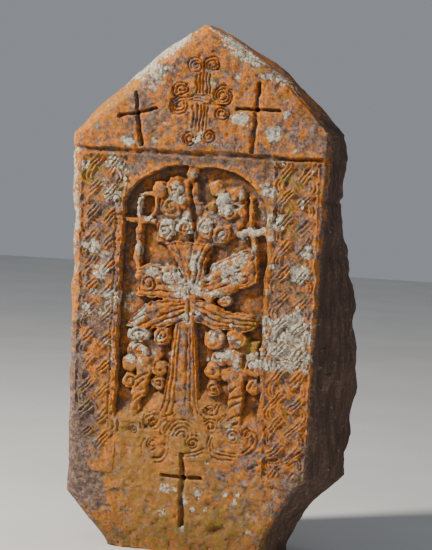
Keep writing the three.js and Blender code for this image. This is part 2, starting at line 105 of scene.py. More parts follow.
FACE_SKIN = 2.5  # the dressed front keeps this far inside the solid
# Each side of the front: half widths, heights, how far its gable slope bows out, how deep it is roughened,
# and its nicks as height, half height and how far they go in
LEFT = {"sign": -1, "foot": 252, "break_z": 172, "bend": 1.15, "waist": 405,
        "shoulder": 429, "shoulder_z": 1398, "bow": 11, "rough": 4.0,
        "nicks": [(1455, 45, -12), (1625, 34, 7), (1342, 9, 4), (1120, 30, 5), (930, 60, 4), (250, 40, 4)]}
RIGHT = {"sign": 1, "foot": 262, "break_z": 285, "bend": 1.7, "waist": 407,
         "shoulder": 432, "shoulder_z": 1426, "bow": 29, "rough": 8.0,
         "nicks": [(1205, 10, 8), (1330, 14, 4), (1010, 22, 3), (700, 30, 3), (1470, 26, 5)]}
# Where the back was knocked flat: x, z, turn and tilt of each plane
BACK_PLANES = [(268, 880, -0.42, 0.05), (-320, 792, 0.46, -0.04),
               (0, 1277, 0.03, 0.16), (0, 282, -0.02, -0.1)]

# Layout of the front
GROOVE_Z = 1342
BORDER_CENTRE = 331
BORDER_WIDTH = 148
BORDER_TOP = 1322
BORDER_BOTTOM = 258
PLAIT_PITCH = 84
STRANDS = 3
STRAND_GAP = 11.4
NICHE_X = -12
NICHE_HALF = 252
NICHE_SILL = 432
SPRING_Z = 1130
ARCH_RISE = 172
ARCH_FULLNESS = 2.3
SILL_RAMP = 90
CROSS_X = -15
CROSS_Z = 875
ROUNDEL_X = -19
ROUNDEL_Z = 397

# How the relief is cut, in millimetres
FIELD_DROP = 2.5  # the field below the gable is dressed this much lower
GROOVE_HALF = 11.0
GROOVE_ROUTE = [(-440, GROOVE_Z + 1), (-200, GROOVE_Z), (100, GROOVE_Z - 1), (450, GROOVE_Z - 8)]
STRAY_BROAD = 62.0  # length of the broad waves in worn lines, and of the fine ones on them
STRAY_FINE = 17.0
STRAY_SHARE = 0.42
RAGGED = 3.3  # how far worn edges of raised forms stray
WALL_RUN = 7.0  # width over which the wall of the niche, an arm or a member rises
RING_RUN = 6.0  # the same for the small ring and the shaft
BACKING_DROP = 13  # the stone behind the curls lies this far below the cross
BACKING_RUN = 10
MEMBER_ROUND = 2.5
RIB_INSET = 11.0  # the line cut along the outline of an arm
RIB_HALF = 4.2
CURL_PROUD = 1.5  # curls stand this much above the arms
CURL_FALL = 6.0  # from the middle of a curl to its rim
SPIRAL_SHARE = 0.76  # outer radius of the spiral, as a share of the curl's
SPIRAL_HALF = 4.6
FOLD_HALF = 4.2
TWIST_HALF = 4.8
MOULDING_OUT = 17  # the line round the niche, from its edge
MOULDING_HALF = 4.5
SILL_EASE = 32.0  # height over which the floor of the niche comes up to the face at the sill
FLOOR_RISE_Z = 420  # the floor has risen in full at this height, in the middle FLOOR_RISE_MIDDLE above it
FLOOR_RISE_MIDDLE = 70
FLOOR_RISE_SHARE = 0.78  # share of the depth that it rises by
SHAFT_STRAY = 0.3  # the shaft keeps this share of the straying of the rest
SHAFT_SHIFT = 13  # how far left its axis has moved at SHAFT_SHIFT_DROP below the crossing
SHAFT_SHIFT_DROP = 110
SHAFT_LEAN = 4  # and how much further at the full length
SHAFT_LENGTH = 450
SHAFT_HALF = 26  # half width at the crossing, what it gains down to FLARE_DROP, and what the foot adds
SHAFT_SPREAD = 38
SHAFT_FLARE = 40
FLARE_DROP = 350
FLUTE_START = 96  # the flutes start and end this far below the crossing
FLUTE_END = 428
BORDER_ENDS = 0.4  # how steeply the borders end, less than 1 is softer
BORDER_MARGIN = 3.0
BORDER_RUN = 11.0
TURN_RADIUS = 19.0  # of the strands that bend back at the edge of a border
GABLE_CURL_HALF = 3.9
GABLE_STEM_HALF = 3.6
SCROLL_HALF = 3.7
RING_HALF = 4.2
ARM_HALF = 7.0  # half width of the arms of the plain crosses
HIGHEST = -0.5  # nothing on the front stands higher than this

# How the weather wore the front, in millimetres
WAVE_DEPTH = 3.4
LUMP_HEIGHT = 2.2
PIT_DEPTH = 6.0
SPALL_DEPTH = 2.5
HOLE_DEPTH = 15
HOLE = (112, 24, 85, 17)  # x and half width, z and half height of the one deep hole
RIGHT_WEAR = (2.5, 12)  # depth at the right arris, and how much more on the gable
RIGHT_WEAR_REACH = (6, 64)  # how far in it goes, and how much further on the gable

# Where painted shade, painted highlights, dirt, bare stone and growths sit, in millimetres; a pair is where
# something starts and is in full
FINE_RELIEF = 4.0  # a line cut this much below its surroundings is full of painted shade and dirt
BROAD_RELIEF = 13.0  # and so is a hollow this deep
# the deep floors of the niche get painted shade, from the first depth to the second
DEEP_FLOOR = (17, 38)
OFF_FRONT = (4, 14)  # beyond an edge of the front
BEHIND_FRONT = (48, 60)
EDGE_CLEAR = 6  # no painted shade and no dirt this near an edge
EDGE_FADE = (24, 50)  # width over which it sets in, and how much more on the gable
# a band of painted shade under the groove: its height and half height
GROOVE_SHADE_Z = 1322
GROOVE_SHADE_HALF = 17
GROUND_DIRT = (20, 190)
CLOUD_SIZE = 130
BACK_FROM = (120, 230)
ROUGH_FROM = (3, 9)
ROUGH_END = (1330, 1470)
GROWTH_SLANT = (40, 110)
PALE_LIT_ARRIS_FROM = (860, 980)  # the left arris is pale from here, partly pale lichen and partly painted highlight
PALE_LIT_ARRIS_TO = (1330, 1400)  # up to here
BARE_ARRIS_TO = (520, 640)  # and bare up to here

# Fineness of the mesh before it is thinned
ROW_STEP = 2.3
FRONT_COLUMNS = 376
SIDE_COLUMNS = 34
NEAR_COLUMNS = 12  # of those of a side, the ones that lie within FRONT_REACH millimetres of the front
FRONT_REACH = 40
BACK_COLUMNS = 46
STONE_FACES = 196_000
BOX_MARGIN = 1e-5  # metres that every point keeps inside the box of the solid
GRAIN_SIZE = 0.010  # metres across one lump of the weathered grain
GRAIN_SEED = 4.0
PIT_SIZE = 0.016  # metres from one weathered pit to the next
FLAT_FOOT = 1.2 * MM  # points lower than this lie on the ground
CRUST_THICKNESS = 0.0013
CRUST_DENSITY = 7500.0  # scales on a square metre that is fully grown over
CRUST_SEED = 7

# Colours that the panel doesn't offer
SPECK_GREY = (0.33, 0.27, 0.225)
# painted highlight on the crests and on the left arris
CREST_HIGHLIGHT = (1.0, 0.86, 0.68)
# painted shade, with some dirt, in cut lines
LINE_SHADE_AND_DIRT = (0.085, 0.052, 0.036)
# painted shade, with some dirt, in the hollows and on the deep floors, and painted shade under the groove
HOLLOW_SHADE_AND_DIRT = (0.062, 0.034, 0.016)
# painted shade in the hollows between the lumps
LUMP_SHADE = (0.085, 0.048, 0.031)
PORE_DARK = (0.035, 0.021, 0.014)
SKY = (0.80, 0.86, 0.95, 1.0)

# The stage, in metres and degrees
FLOOR_REACH = 14.0
SKY_STRENGTH = 0.32
LAMP_AIM = (0.0, 0.0, 0.95)
# name, place, size, power, colour
LAMPS = [
    ("Key", (-4.3, -2.9, 5.0), 0.7, 880.0, (1.0, 0.94, 0.86)),
    ("Fill", (3.2, -4.6, 2.2), 3.0, 26.0, (0.88, 0.93, 1.0)),
]
CAMERA_AIM = (0.0356, 0.0, 0.93336)
CAMERA_DISTANCE = 6.0
CAMERA_AZIMUTH = 14.0
CAMERA_ELEVATION = 4.0
CAMERA_ROLL = 2.717
CAMERA_LENS = 115.23


class KhachkarSizes(bpy.types.PropertyGroup):
    """Depths of the carving and strength of the weathering."""
    niche_depth: bpy.props.FloatProperty(
        name="Niche depth", description="How deep the niche is hollowed, in millimetres",
        default=34.0, min=5.0, max=80.0)
    relief_top: bpy.props.FloatProperty(
        name="Relief top", description="How far below the front the cross stands, in millimetres",
        default=5.0, min=0.0, max=30.0)
    border_sink: bpy.props.FloatProperty(
        name="Border sink", description="How deep the plaited borders are sunk, in millimetres",
        default=8.0, min=1.0, max=20.0)
    line_depth: bpy.props.FloatProperty(
        name="Line depth", description="Depth of the fine cut lines, in millimetres",
        default=5.5, min=1.0, max=15.0)
    stroke_depth: bpy.props.FloatProperty(
        name="Stroke depth", description="Depth of the plain cut crosses, in millimetres",
        default=13.0, min=2.0, max=25.0)
    wander: bpy.props.FloatProperty(
        name="Wander", description="How far worn lines stray from their setting out, in millimetres",
        default=4.8, min=0.0, max=12.0)
    pitting: bpy.props.FloatProperty(
        name="Pitting", description="Depth of the pits and grain worn into the stone",
        default=0.0056, min=0.0, max=0.01, subtype="DISTANCE", unit="LENGTH")
    crust: bpy.props.FloatProperty(
        name="Crust", description="Width of one scale of thick lichen crust",
        default=0.010, min=0.002, max=0.05, subtype="DISTANCE", unit="LENGTH")


def colour_property(name, description, default):
    return bpy.props.FloatVectorProperty(
        name=name, description=description, default=default, size=3, min=0.0, max=1.0, subtype="COLOR")


class KhachkarColours(bpy.types.PropertyGroup):
    """Colours of the bare stone and of what grows on it."""
    stone: colour_property("Bare stone", "Pinkish grey of the bare volcanic stone", (0.225, 0.150, 0.122))
    stone_dark: colour_property("Rough stone", "Dark brown of the rough right side", (0.110, 0.065, 0.046))
    orange: colour_property("Orange lichen", "Colour of the commonest lichen", (0.60, 0.184, 0.017))
    ochre: colour_property("Ochre lichen", "Colour of the lichen near the foot", (0.39, 0.175, 0.034))
    moss: colour_property(
        "Yellow-green lichen", "Colour of the small yellow-green growths", (0.24, 0.165, 0.02))
    pale: colour_property("Pale lichen", "Colour of the thick grey-green crusts", (0.54, 0.50, 0.39))
    floor: colour_property("Floor", "Colour of the plain floor", (0.62, 0.61, 0.59))


# Carving, in millimetres

# Outlines of the arms and broad leaves, from the crossing
ARMS = {
    "head": [(-31, 20), (33, 20), (56, 100), (77, 175), (-111, 175), (-62, 95)],
    "left arm": [(0, -25), (0, 40), (-45, 87), (-125, 93), (-192, 74), (-186, 30), (-196, -14),
                 (-135, -30)],
    "right arm": [(-10, -25), (75, -14), (140, -3), (175, 18), (228, 45), (236, 90), (219, 160),
                  (175, 165), (125, 130), (77, 110), (55, 78), (-10, 40)],
    "left leaf": [(0, -10), (-135, -29), (-190, -70), (-226, -122), (-140, -140), (-50, -112), (0, -105)],
    "right leaf": [(0, -10), (0, -105), (40, -100), (100, -120), (190, -122), (226, -113), (240, -88),
                   (222, -60), (165, -50), (122, -45), (75, -13)],
}
# Stone left at half depth behind the curls, from the crossing
BACKING = [
    [(-131, 160), (-137, 315), (-108, 362), (-48, 384), (-10, 384), (-10, 160)],
    [(-10, 160), (112, 160), (172, 235), (182, 322), (142, 362), (82, 362), (92, 330), (50, 285),
     (12, 330)],
    [(-150, -255), (-222, -300), (-222, -200), (-185, -150), (-70, -150), (-88, -240), (-80, -300)],
    [(70, -330), (84, -140), (250, -140), (254, -300), (205, -290), (160, -260)],
]
# Lines cut along the arms and leaves, from the crossing
FOLDS = [
    [(20, 34), (44, 110), (66, 168)], [(8, 40), (24, 110), (44, 170)], [(-4, 46), (-4, 110), (2, 170)],
    [(-14, 40), (-32, 110), (-58, 168)], [(-22, 34), (-56, 110), (-98, 168)],
    [(-22, 8), (-110, 0), (-184, 14)], [(-26, 34), (-96, 52), (-186, 44)],
    [(-20, 22), (-90, 24), (-180, 30)], [(52, 44), (130, 78), (218, 138)],
    [(56, 14), (150, 44), (222, 84)], [(50, 30), (110, 52), (170, 84)],
    [(-20, -34), (-110, -58), (-204, -108)], [(-16, -62), (-80, -90), (-150, -130)],
    [(-20, -48), (-100, -76), (-176, -120)], [(-14, -84), (-44, -100), (-64, -112)],
    [(28, -38), (130, -74), (240, -80)], [(22, -68), (80, -98), (196, -106)],
    [(26, -52), (110, -88), (220, -94)], [(-2, -24), (4, -60), (-4, -96)],
]
# Curls: x and z from the crossing, radius, height of the top, squash, and start and turns of a spiral
CURLS = [
    # head, lower row
    (-93, 210, 38, 0, 1.0, 1.2, 1.6), (-31, 222, 34, 0, 1.0, 2.6, -1.5), (39, 221, 34, 0, 1.15, 0.4, 1.6),
    (97, 208, 37, 0, 1.1, 1.9, -1.5),
    # head, upper row
    (-82, 288, 44, -2, 1.0, 1.8, 1.6), (118, 282, 38, -1, 0.9, 0.6, 1.5), (-125, 340, 33, -3, 1.0),
    (-66, 352, 34, -2, 1.2, 0.3, 0.8), (74, 352, 30, -4, 1.0), (140, 335, 34, -3, 1.0, 2.0, 0.8),
    (100, 318, 27, -2, 1.0), (-40, 305, 22, -4, 1.6), (62, 290, 20, -6, 1.2), (160, 290, 20, -6, 1.3),
    # ends of the arms
    (-76, 52, 46, 1, 1.0, 0.8, -1.7), (-146, 26, 42, 1, 1.0, 2.2, 1.7), (-150, 72, 25, 0, 0.8),
    (-182, 50, 20, 0, 1.0), (128, 84, 46, -1, 1.0), (182, 118, 36, -1, 1.0),
    (182, 62, 34, -1, 1.0, 3.0, 0.7), (118, -16, 27, -1, 0.9, 0.4, 1.2), (62, -6, 22, 0, 0.8),
    (86, 12, 17, 0, 1.0),
    # upper leaves
    (-172, -147, 47, 1, 0.7, 2.4, 1.8), (-88, -148, 38, 1, 1.0, 1.2, -1.7),
    (86, -147, 43, 1, 1.0, 1.6, 1.4), (166, -140, 45, 1, 0.84, 2.4, -1.7),
    # lower leaves
    (-163, -204, 34, -1, 0.9, 1.0, 0.7), (-203, -248, 33, -2, 1.0), (-200, -304, 30, -2, 1.0, 3.4, 1.2),
    (-97, -304, 28, -2, 1.05, 0.2, 1.3), (-98, -254, 32, -2, 1.0, 1.0, 0.7), (-150, -244, 36, -3, 1.0),
    (112, -206, 35, -1, 0.8, 0.6, 0.7), (160, -206, 32, -2, 1.0), (90, -252, 34, -2, 1.0, 1.6, 0.9),
    (97, -314, 31, -1, 1.0, 3.2, 1.6), (144, -256, 32, -3, 1.0), (226, -232, 36, -2, 1.0, 0.4, 0.9),
    (232, -294, 30, -1, 1.0, 3.4, 1.5), (196, -252, 20, -5, 1.0),
]
# Curls of the gable cross: x, z, radius, start, and 1 to wind against the clock
GABLE_CURLS = [
    (-29, 1632, 31, -0.4, 1), (25, 1638, 28, 3.5, -1), (-76, 1551, 29, -1.5, -1), (-76, 1497, 34, 1.5, 1),
    (67, 1542, 37, -1.6, 1), (64, 1477, 28, 1.6, -1), (-42, 1393, 26, 0.2, -1), (28, 1399, 26, 3.0, 1),
]
GABLE_PITCH = 10.5  # from one turn of a curl to the next
# Lines along its arms, and the weave at its crossing
GABLE_STEMS = [
    [(-26, 1540), (-25, 1604)], [(-15, 1542), (-15, 1590), (-12, 1608)], [(-3, 1540), (-3, 1618)],
    [(9, 1540), (9, 1606)], [(20, 1542), (21, 1602)], [(-32, 1498), (-31, 1425)],
    [(-20, 1500), (-19, 1425)], [(-8, 1500), (-8, 1415)], [(4, 1498), (4, 1415)],
    [(16, 1500), (15, 1425)], [(-36, 1530), (-56, 1524), (-78, 1523)],
    [(-38, 1518), (-54, 1516), (-74, 1530)], [(26, 1526), (48, 1508), (68, 1505)],
    [(26, 1512), (44, 1504), (64, 1506)], [(-36, 1534), (-6, 1532)], [(-36, 1524), (-4, 1522)],
    [(-34, 1514), (-4, 1512)], [(0, 1536), (26, 1530)], [(0, 1520), (30, 1516)], [(2, 1506), (28, 1504)],
]
# The ring of the small left cross: x, z, reach across and up, half width
SMALL_RING = (-177, 1160, 31, 41, 11)
# Flutes of the shaft: place as a share of the half width, half width of the line, share of the depth
FLUTES = ((0.80, 4.0, 0.8), (0.55, 3.8, 0.75), (0.30, 3.6, 0.5))
# Stems of the leaves: from, to, reach of the cuts; and the cuts: place along the stem, share of the reach
LEAF_STEMS = (((-174, 588), (-195, 440), 22), ((156, 596), (160, 446), 25))
TWISTS = ((0.0, 1.0), (0.17, 0.5), (0.4, 0.9), (0.56, 0.6), (0.83, 0.8), (1.0, 0.5))
# Straight members in the niche: from, to, width, height of the top above or below the cross
MEMBERS = [
    ((-268, 1111), (-150, 1111), 25, -4), ((-204, 1124), (-202, 952), 32, -4),
    ((182, 1205), (186, 1080), 28, -4), ((142, 1083), (256, 1096), 33, -2),
    ((188, 1090), (206, 955), 30, -4), ((-30, 1316), (-27, 1262), 40, -2),
    ((-12, 1236), (0, 1150), 32, -9), ((-28, 1255), (-14, 1236), 26, -14),
    ((-166, 610), (-182, 530), 60, -2), ((-180, 545), (-196, 430), 42, -2),
    ((156, 628), (160, 428), 56, -2),
]
# Rings of the roundel: radius, share of the depth
RINGS = ((15, 1.3), (27, 1.0), (40, 0.8), (53, 0.8))
# Scrolls cut at the foot: x, z, radius, start, turns
SCROLLS = [
    (158, 407, 34, 0.5, 2.3), (79, 432, 30, 2.5, -1.8), (-117, 434, 32, 2.6, -1.6),
    (209, 424, 22, 2.2, 1.4), (21, 376, 27, 0.2, 1.9), (-118, 352, 30, 1.0, 0.9),
    (-190, 405, 22, 1.6, 1.2), (74, 484, 22, 0.6, 1.3),
]
# Worn lines of the foot: route, half width, share of the full depth
FOOT_LINES = [
    ([(84, 396), (80, 362), (100, 344), (170, 340)], 3.4, 0.8),
    ([(94, 400), (90, 370), (110, 354), (176, 350)], 3.4, 0.7),
    ([(74, 404), (70, 356), (92, 332), (160, 328)], 3.4, 0.7),
    ([(215, 308), (255, 326), (306, 344)], 6.5, 1.3), ([(250, 300), (262, 280), (256, 262)], 3.4, 0.6),
    ([(261, 304), (273, 280), (267, 260)], 3.4, 0.6), ([(272, 306), (284, 282), (278, 262)], 3.4, 0.6),
    ([(310, 330), (350, 350), (392, 384)], 3.8, 0.9), ([(310, 318), (352, 338), (394, 372)], 3.8, 0.9),
    ([(312, 306), (352, 326), (394, 358)], 3.8, 0.8),
    ([(200, 446), (224, 420), (222, 380), (196, 358)], 4.0, 0.9),
    ([(212, 452), (238, 422), (236, 376), (206, 350)], 4.0, 0.8),
    ([(120, 470), (104, 450), (110, 424)], 4.0, 0.8), ([(132, 474), (116, 452), (122, 430)], 4.0, 0.7),
    ([(62, 500), (74, 486), (92, 490), (98, 508)], 3.8, 0.8),
    ([(52, 492), (70, 474), (100, 480), (108, 508)], 3.8, 0.8),
    ([(-74, 366), (-76, 340), (-92, 318), (-112, 312)], 5.5, 1.1),
    ([(-150, 372), (-160, 348), (-158, 326)], 4.2, 0.7),
    ([(-62, 372), (-62, 340), (-80, 306), (-108, 298)], 4.0, 0.6),
    ([(-165, 430), (-152, 396), (-120, 384)], 4.2, 0.7),
    ([(-142, 470), (-100, 478), (-74, 456)], 4.2, 0.8),
    ([(-152, 458), (-148, 420), (-118, 400)], 4.0, 0.7),
    ([(-249, 450), (-249, 404), (-257, 356), (-253, 326)], 4.0, 0.6),
    ([(-72, 452), (-92, 430), (-88, 398), (-66, 384)], 4.0, 0.9),
    ([(-62, 440), (-78, 424), (-76, 404), (-62, 396)], 3.8, 0.8),
    ([(-60, 350), (-34, 338), (0, 338), (34, 344), (58, 356)], 4.0, 0.8),
    ([(-56, 338), (-32, 326), (2, 326), (36, 331), (60, 342)], 3.6, 0.7),
    ([(-50, 470), (-90, 452), (-128, 420)], 4.0, 0.8), ([(44, 470), (70, 448), (76, 420)], 4.0, 0.8),
]
# Plain crosses: x, z, reach up, down and of the arms, lean of the upright, fall of the arms, half width
PLAIN_CROSSES = [
    (-221, 1474, 66, 110, 64, -0.13, 0.23, 5.4), (186, 1494, 86, 136, 72, 0.06, -0.01, 7.8),
    (-14, 259, 78, 166, 68, -0.05, 0.0, 8.5),
]

# Growths on the front, and the places where the stone is bare: x, z, half width, half height, strength,
# and the turn in degrees of those that lie aslant
PALE_PATCHES = [
    (40, 1748, 44, 12, 1.0, -24), (124, 1692, 84, 34, 1.1, -33), (170, 1660, 36, 20, 0.9, -22),
    (215, 1604, 24, 12, 0.9, -20), (278, 1590, 60, 20, 0.9, -30), (131, 1463, 29, 24, 1.2, 20),
    (244, 1418, 27, 24, 1.3), (287, 1485, 13, 10, 1.1), (115, 1602, 9, 8, 0.8), (-249, 1372, 23, 18, 1.0),
    (-159, 1382, 15, 13, 0.9), (-9, 1392, 14, 27, 1.0, -30), (-208, 1363, 12, 8, 1.0),
    (60, 1372, 36, 9, 0.6), (325, 1364, 12, 10, 0.9), (272, 1330, 22, 19, 1.0), (-120, 1440, 12, 9, 0.6),
    (-155, 1668, 150, 27, 1.35, 38), (-165, 1592, 62, 34, 0.8, 38), (40, 1560, 14, 20, 0.5, 20),
    (-80, 1390, 12, 8, 0.5),
    # left border
    (-290, 1302, 42, 30, 1.0), (-262, 1262, 22, 34, 0.9), (-300, 1196, 36, 26, 1.0, 20),
    (-330, 1232, 26, 16, 0.7), (-396, 1290, 15, 18, 1.0), (-364, 1016, 30, 24, 1.2),
    (-318, 988, 20, 13, 1.1), (-330, 938, 26, 32, 1.2, 15), (-354, 862, 20, 15, 0.9),
    (-318, 862, 22, 17, 0.8), (-376, 802, 24, 26, 0.9), (-284, 856, 26, 20, 1.0),
    (-300, 800, 40, 40, 0.6), (-350, 960, 50, 20, 0.6), (-290, 700, 26, 20, 0.5),
    (-392, 700, 16, 24, 0.5), (-360, 640, 20, 14, 0.5), (-270, 650, 14, 24, 0.7),
    # small crosses and the head
    (-206, 1165, 12, 42, 1.3), (-190, 1205, 18, 10, 1.0, 30), (-160, 1120, 30, 12, 1.0),
    (-202, 1010, 14, 34, 0.8), (-84, 1222, 32, 30, 1.0), (-72, 1188, 34, 18, 0.9),
    (-95, 1090, 42, 38, 1.0), (-48, 1120, 34, 30, 1.0), (-30, 1085, 24, 20, 0.9), (22, 1112, 30, 34, 1.0),
    (88, 1184, 30, 34, 1.3), (118, 1166, 42, 13, 1.3, 25), (60, 1150, 26, 12, 0.9),
    (145, 1216, 14, 20, 0.8), (62, 1250, 18, 9, 0.9), (-20, 1272, 20, 9, 0.8), (225, 1238, 18, 26, 0.9),
    (218, 1180, 18, 34, 0.7), (246, 1130, 22, 32, 0.9), (190, 1094, 52, 17, 1.2, 8),
    (152, 1072, 13, 17, 1.4), (198, 1040, 14, 24, 0.7), (80, 1085, 22, 30, 0.6),
    # the cross
    (-2, 985, 24, 46, 1.0), (-104, 944, 66, 27, 1.0), (-70, 925, 26, 50, 0.85, -30),
    (-160, 936, 12, 8, 1.1), (-16, 902, 52, 36, 0.95), (-45, 866, 26, 13, 1.1), (128, 960, 48, 62, 0.95),
    (75, 968, 32, 20, 0.85, 30), (60, 882, 32, 15, 1.0), (112, 864, 18, 20, 0.9),
    (40, 930, 20, 30, 0.8, -20), (160, 1010, 28, 20, 0.9), (-20, 795, 26, 22, 0.8),
    (12, 812, 16, 20, 0.8, -30), (-90, 792, 16, 22, 0.7), (50, 802, 20, 8, 0.7),
    # leaves
    (-238, 838, 36, 52, 0.9), (-180, 792, 13, 36, 1.2, -25), (-210, 765, 22, 26, 1.0, -30),
    (-188, 727, 40, 23, 1.3), (-116, 716, 20, 17, 1.0), (-198, 690, 24, 9, 1.1), (-154, 676, 30, 17, 1.0),
    (-216, 646, 22, 18, 1.1), (-172, 636, 16, 14, 0.9), (-66, 664, 8, 20, 1.0), (82, 738, 30, 24, 0.9),
    (118, 744, 26, 13, 0.8, -20), (130, 682, 52, 21, 1.1), (98, 668, 28, 10, 1.2, 30),
    (64, 661, 15, 13, 1.0), (160, 652, 20, 22, 0.9), (216, 664, 36, 26, 1.2), (102, 800, 26, 13, 0.9),
    (142, 786, 18, 12, 0.9), (164, 724, 11, 7, 1.2), (230, 630, 18, 10, 0.8), (150, 440, 18, 14, 0.6),
    (160, 400, 24, 16, 0.5),
    # right border
    (250, 804, 18, 15, 1.3), (352, 966, 36, 32, 1.3, -20), (376, 1036, 20, 30, 1.2, -20),
    (350, 838, 22, 18, 1.1), (330, 768, 80, 64, 1.3), (300, 706, 66, 48, 1.2), (364, 690, 40, 54, 1.1),
    (272, 652, 26, 22, 1.1), (330, 652, 50, 18, 0.8), (346, 590, 16, 9, 0.8), (252, 1076, 15, 11, 0.9),
    (256, 1226, 13, 22, 1.0), (272, 1130, 24, 34, 0.9), (352, 1190, 10, 18, 0.8),
    (390, 1300, 10, 12, 0.7), (340, 1140, 26, 12, 0.6), (298, 960, 16, 12, 0.6), (262, 985, 12, 10, 0.9),
    (256, 900, 14, 12, 0.7),
    # foot
    (-66, 216, 22, 18, 1.0), (-36, 212, 13, 11, 1.0), (46, 205, 12, 12, 1.2), (-5, 190, 8, 18, 1.1),
    (5, 172, 10, 8, 1.2), (30, 155, 12, 10, 1.1), (75, 157, 8, 10, 1.0), (176, 188, 10, 14, 1.1),
    (35, 331, 11, 8, 1.1), (75, 316, 10, 8, 1.0), (-75, 130, 24, 13, 0.9), (226, 91, 13, 10, 0.9),
    (110, 360, 11, 8, 1.0), (-3, 80, 9, 15, 1.4), (216, 145, 14, 7, 0.8), (135, 208, 9, 7, 0.9),
    (186, 216, 6, 9, 0.8), (32, 228, 7, 8, 0.9),
]
BARE_PATCHES = [
    (0, 1322, 300, 15, 0.9), (-190, 1300, 70, 24, 0.7, 25), (180, 1316, 120, 20, 0.5, -6),
    (-330, 1180, 70, 130, 0.45), (-330, 950, 70, 150, 0.45), (330, 1150, 70, 170, 0.35),
    (330, 880, 70, 120, 0.4), (150, 200, 130, 110, 0.45), (-392, 330, 66, 230, 1.7),
    (-345, 200, 66, 76, 1.4), (-412, 560, 34, 220, 1.2), (372, 246, 54, 66, 1.2), (330, 180, 40, 44, 0.9),
    (396, 330, 18, 90, 0.8), (290, 150, 30, 60, 0.7), (-335, 790, 66, 90, 0.8), (-350, 1140, 50, 36, 0.7),
    (-350, 1000, 60, 60, 0.5), (-300, 1060, 30, 40, 0.5), (222, 1200, 26, 60, 0.7),
    (-20, 515, 24, 66, 0.6), (-36, 690, 14, 40, 0.4), (2, 640, 9, 56, 0.5), (330, 1420, 110, 60, 0.45),
    (60, 1372, 120, 14, 0.6), (-200, 1490, 46, 66, 0.7), (-170, 1600, 56, 26, 0.8, 38),
    (75, 1085, 26, 40, 0.7), (0, 1180, 22, 40, 0.6), (230, 330, 50, 30, 0.4), (180, 180, 60, 50, 0.4),
    (350, 500, 20, 60, 0.4), (280, 400, 30, 40, 0.4),
]
OCHRE_PATCHES = [
    (-120, 330, 240, 190, 1.3), (60, 150, 260, 130, 1.1), (-170, 520, 150, 120, 0.8),
    (60, 470, 120, 80, 0.8), (320, 470, 60, 60, 0.5), (-350, 1250, 60, 60, 0.6), (330, 1240, 60, 70, 0.5),
    # the last one, along the left gable slope, is a painted golden highlight of the light grazing that slope
    (-10, 1500, 40, 120, 0.2), (-330, 1490, 140, 26, 0.9, 38),
]
MOSS_PATCHES = [
    (210, 720, 34, 50, 1.2), (-370, 1255, 40, 34, 1.0, 30), (-300, 1110, 26, 22, 0.7),
    (-265, 1210, 14, 50, 1.0), (160, 1640, 50, 12, 0.8, -25), (30, 1590, 16, 24, 0.9),
    (120, 1490, 24, 12, 0.7), (-25, 820, 16, 16, 0.9), (320, 1270, 60, 60, 0.5), (300, 1170, 26, 34, 0.7),
    (0, 60, 320, 70, 0.7), (150, 120, 150, 60, 0.4), (340, 1100, 40, 20, 0.6), (-160, 1395, 20, 16, 0.7),
    (20, 950, 20, 30, 0.5), (190, 790, 50, 12, 0.8), (-360, 870, 50, 16, 0.6), (-320, 795, 20, 16, 0.7),
    (70, 1195, 60, 30, 0.4), (190, 1180, 26, 30, 0.5),
]


def smooth(value):
    """0 at or below 0, 1 at or above 1, eased between."""
    t = np.clip(value, 0.0, 1.0)
    return t * t * (3.0 - 2.0 * t)


def ramp(start, end, value):
    """0 at the start, 1 at the end, eased between; the start may be the larger one."""
    return smooth((np.asarray(value, dtype=float) - start) / (end - start))


class Lattice:
    """Repeatable smooth noise from -1 to 1, on a wrapped lattice of random values."""

    def __init__(self, seed, size=48):
        self.size = size
        self.values = np.random.default_rng(seed).uniform(-1.0, 1.0, (size, size, size)).astype(np.float32)

    def at(self, x, y, z):
        x, y, z = np.broadcast_arrays(x, y, z)
        corner = [np.floor(v).astype(int) for v in (x, y, z)]
        part = [smooth(v - c) for v, c in zip((x, y, z), corner)]
        total = np.zeros(x.shape)
        for step in np.ndindex(2, 2, 2):
            index = tuple((c + s) % self.size for c, s in zip(corner, step))
            weight = np.ones(x.shape)
            for share, s in zip(part, step):
                weight = weight * (share if s else 1.0 - share)
            total += weight * self.values[index]
        return total

    def fractal(self, x, y, z, octaves=4, gain=0.5):
        """Noise with finer noise on it."""
        total = 0.0
        size = 1.0
        for octave in range(octaves):
            scale = 2.03 ** octave
            total = total + size * self.at(x * scale + 7.3 * octave, y * scale, z * scale - 3.1 * octave)
            size *= gain
        return total


NOISE = Lattice(11)


# The body

def edge_curve(side):
    """Front edge of one side from foot to tip, as heights and distances across from the axis."""
    low = np.linspace(0, side["break_z"], 40)
    corner = side["foot"] + (side["waist"] - side["foot"]) * (low / side["break_z"]) ** side["bend"]
    wall = np.linspace(side["break_z"], side["shoulder_z"], 60)[1:]
    rise = (wall - side["break_z"]) / (side["shoulder_z"] - side["break_z"])
    straight = side["waist"] + (side["shoulder"] - side["waist"]) * rise ** 1.6
    t = np.linspace(0, 1, 40)[1:]
    shoulder = np.array([side["sign"] * side["shoulder"], side["shoulder_z"]])
    tip = np.array([APEX_X + side["sign"] * APEX_HALF, TIP_Z])
    run = tip - shoulder
    out = np.array([run[1], -run[0]]) * side["sign"] / np.hypot(*run)
    gable = shoulder + t[:, None] * run + side["bow"] * np.sin(np.pi * t)[:, None] * out
    heights = np.concatenate([low, wall, gable[:, 1], [TOP_Z]])
    across = np.concatenate([side["sign"] * corner, side["sign"] * straight, gable[:, 0],
                             [APEX_X + side["sign"] * TOP_HALF]])
    return heights, across


def edge_x(side, z):
    """Where the worn front edge of a side runs at a height."""
    heights, across = edge_curve(side)
    worn = NOISE.fractal(z / 55.0, side["sign"] * 3.7, 0.0, 4) + 1.0
    nick = sum(size * np.exp(-((z - place) / width) ** 2) for place, width, size in side["nicks"])
    return np.interp(z, heights, across) - side["sign"] * (2.2 * worn + nick)


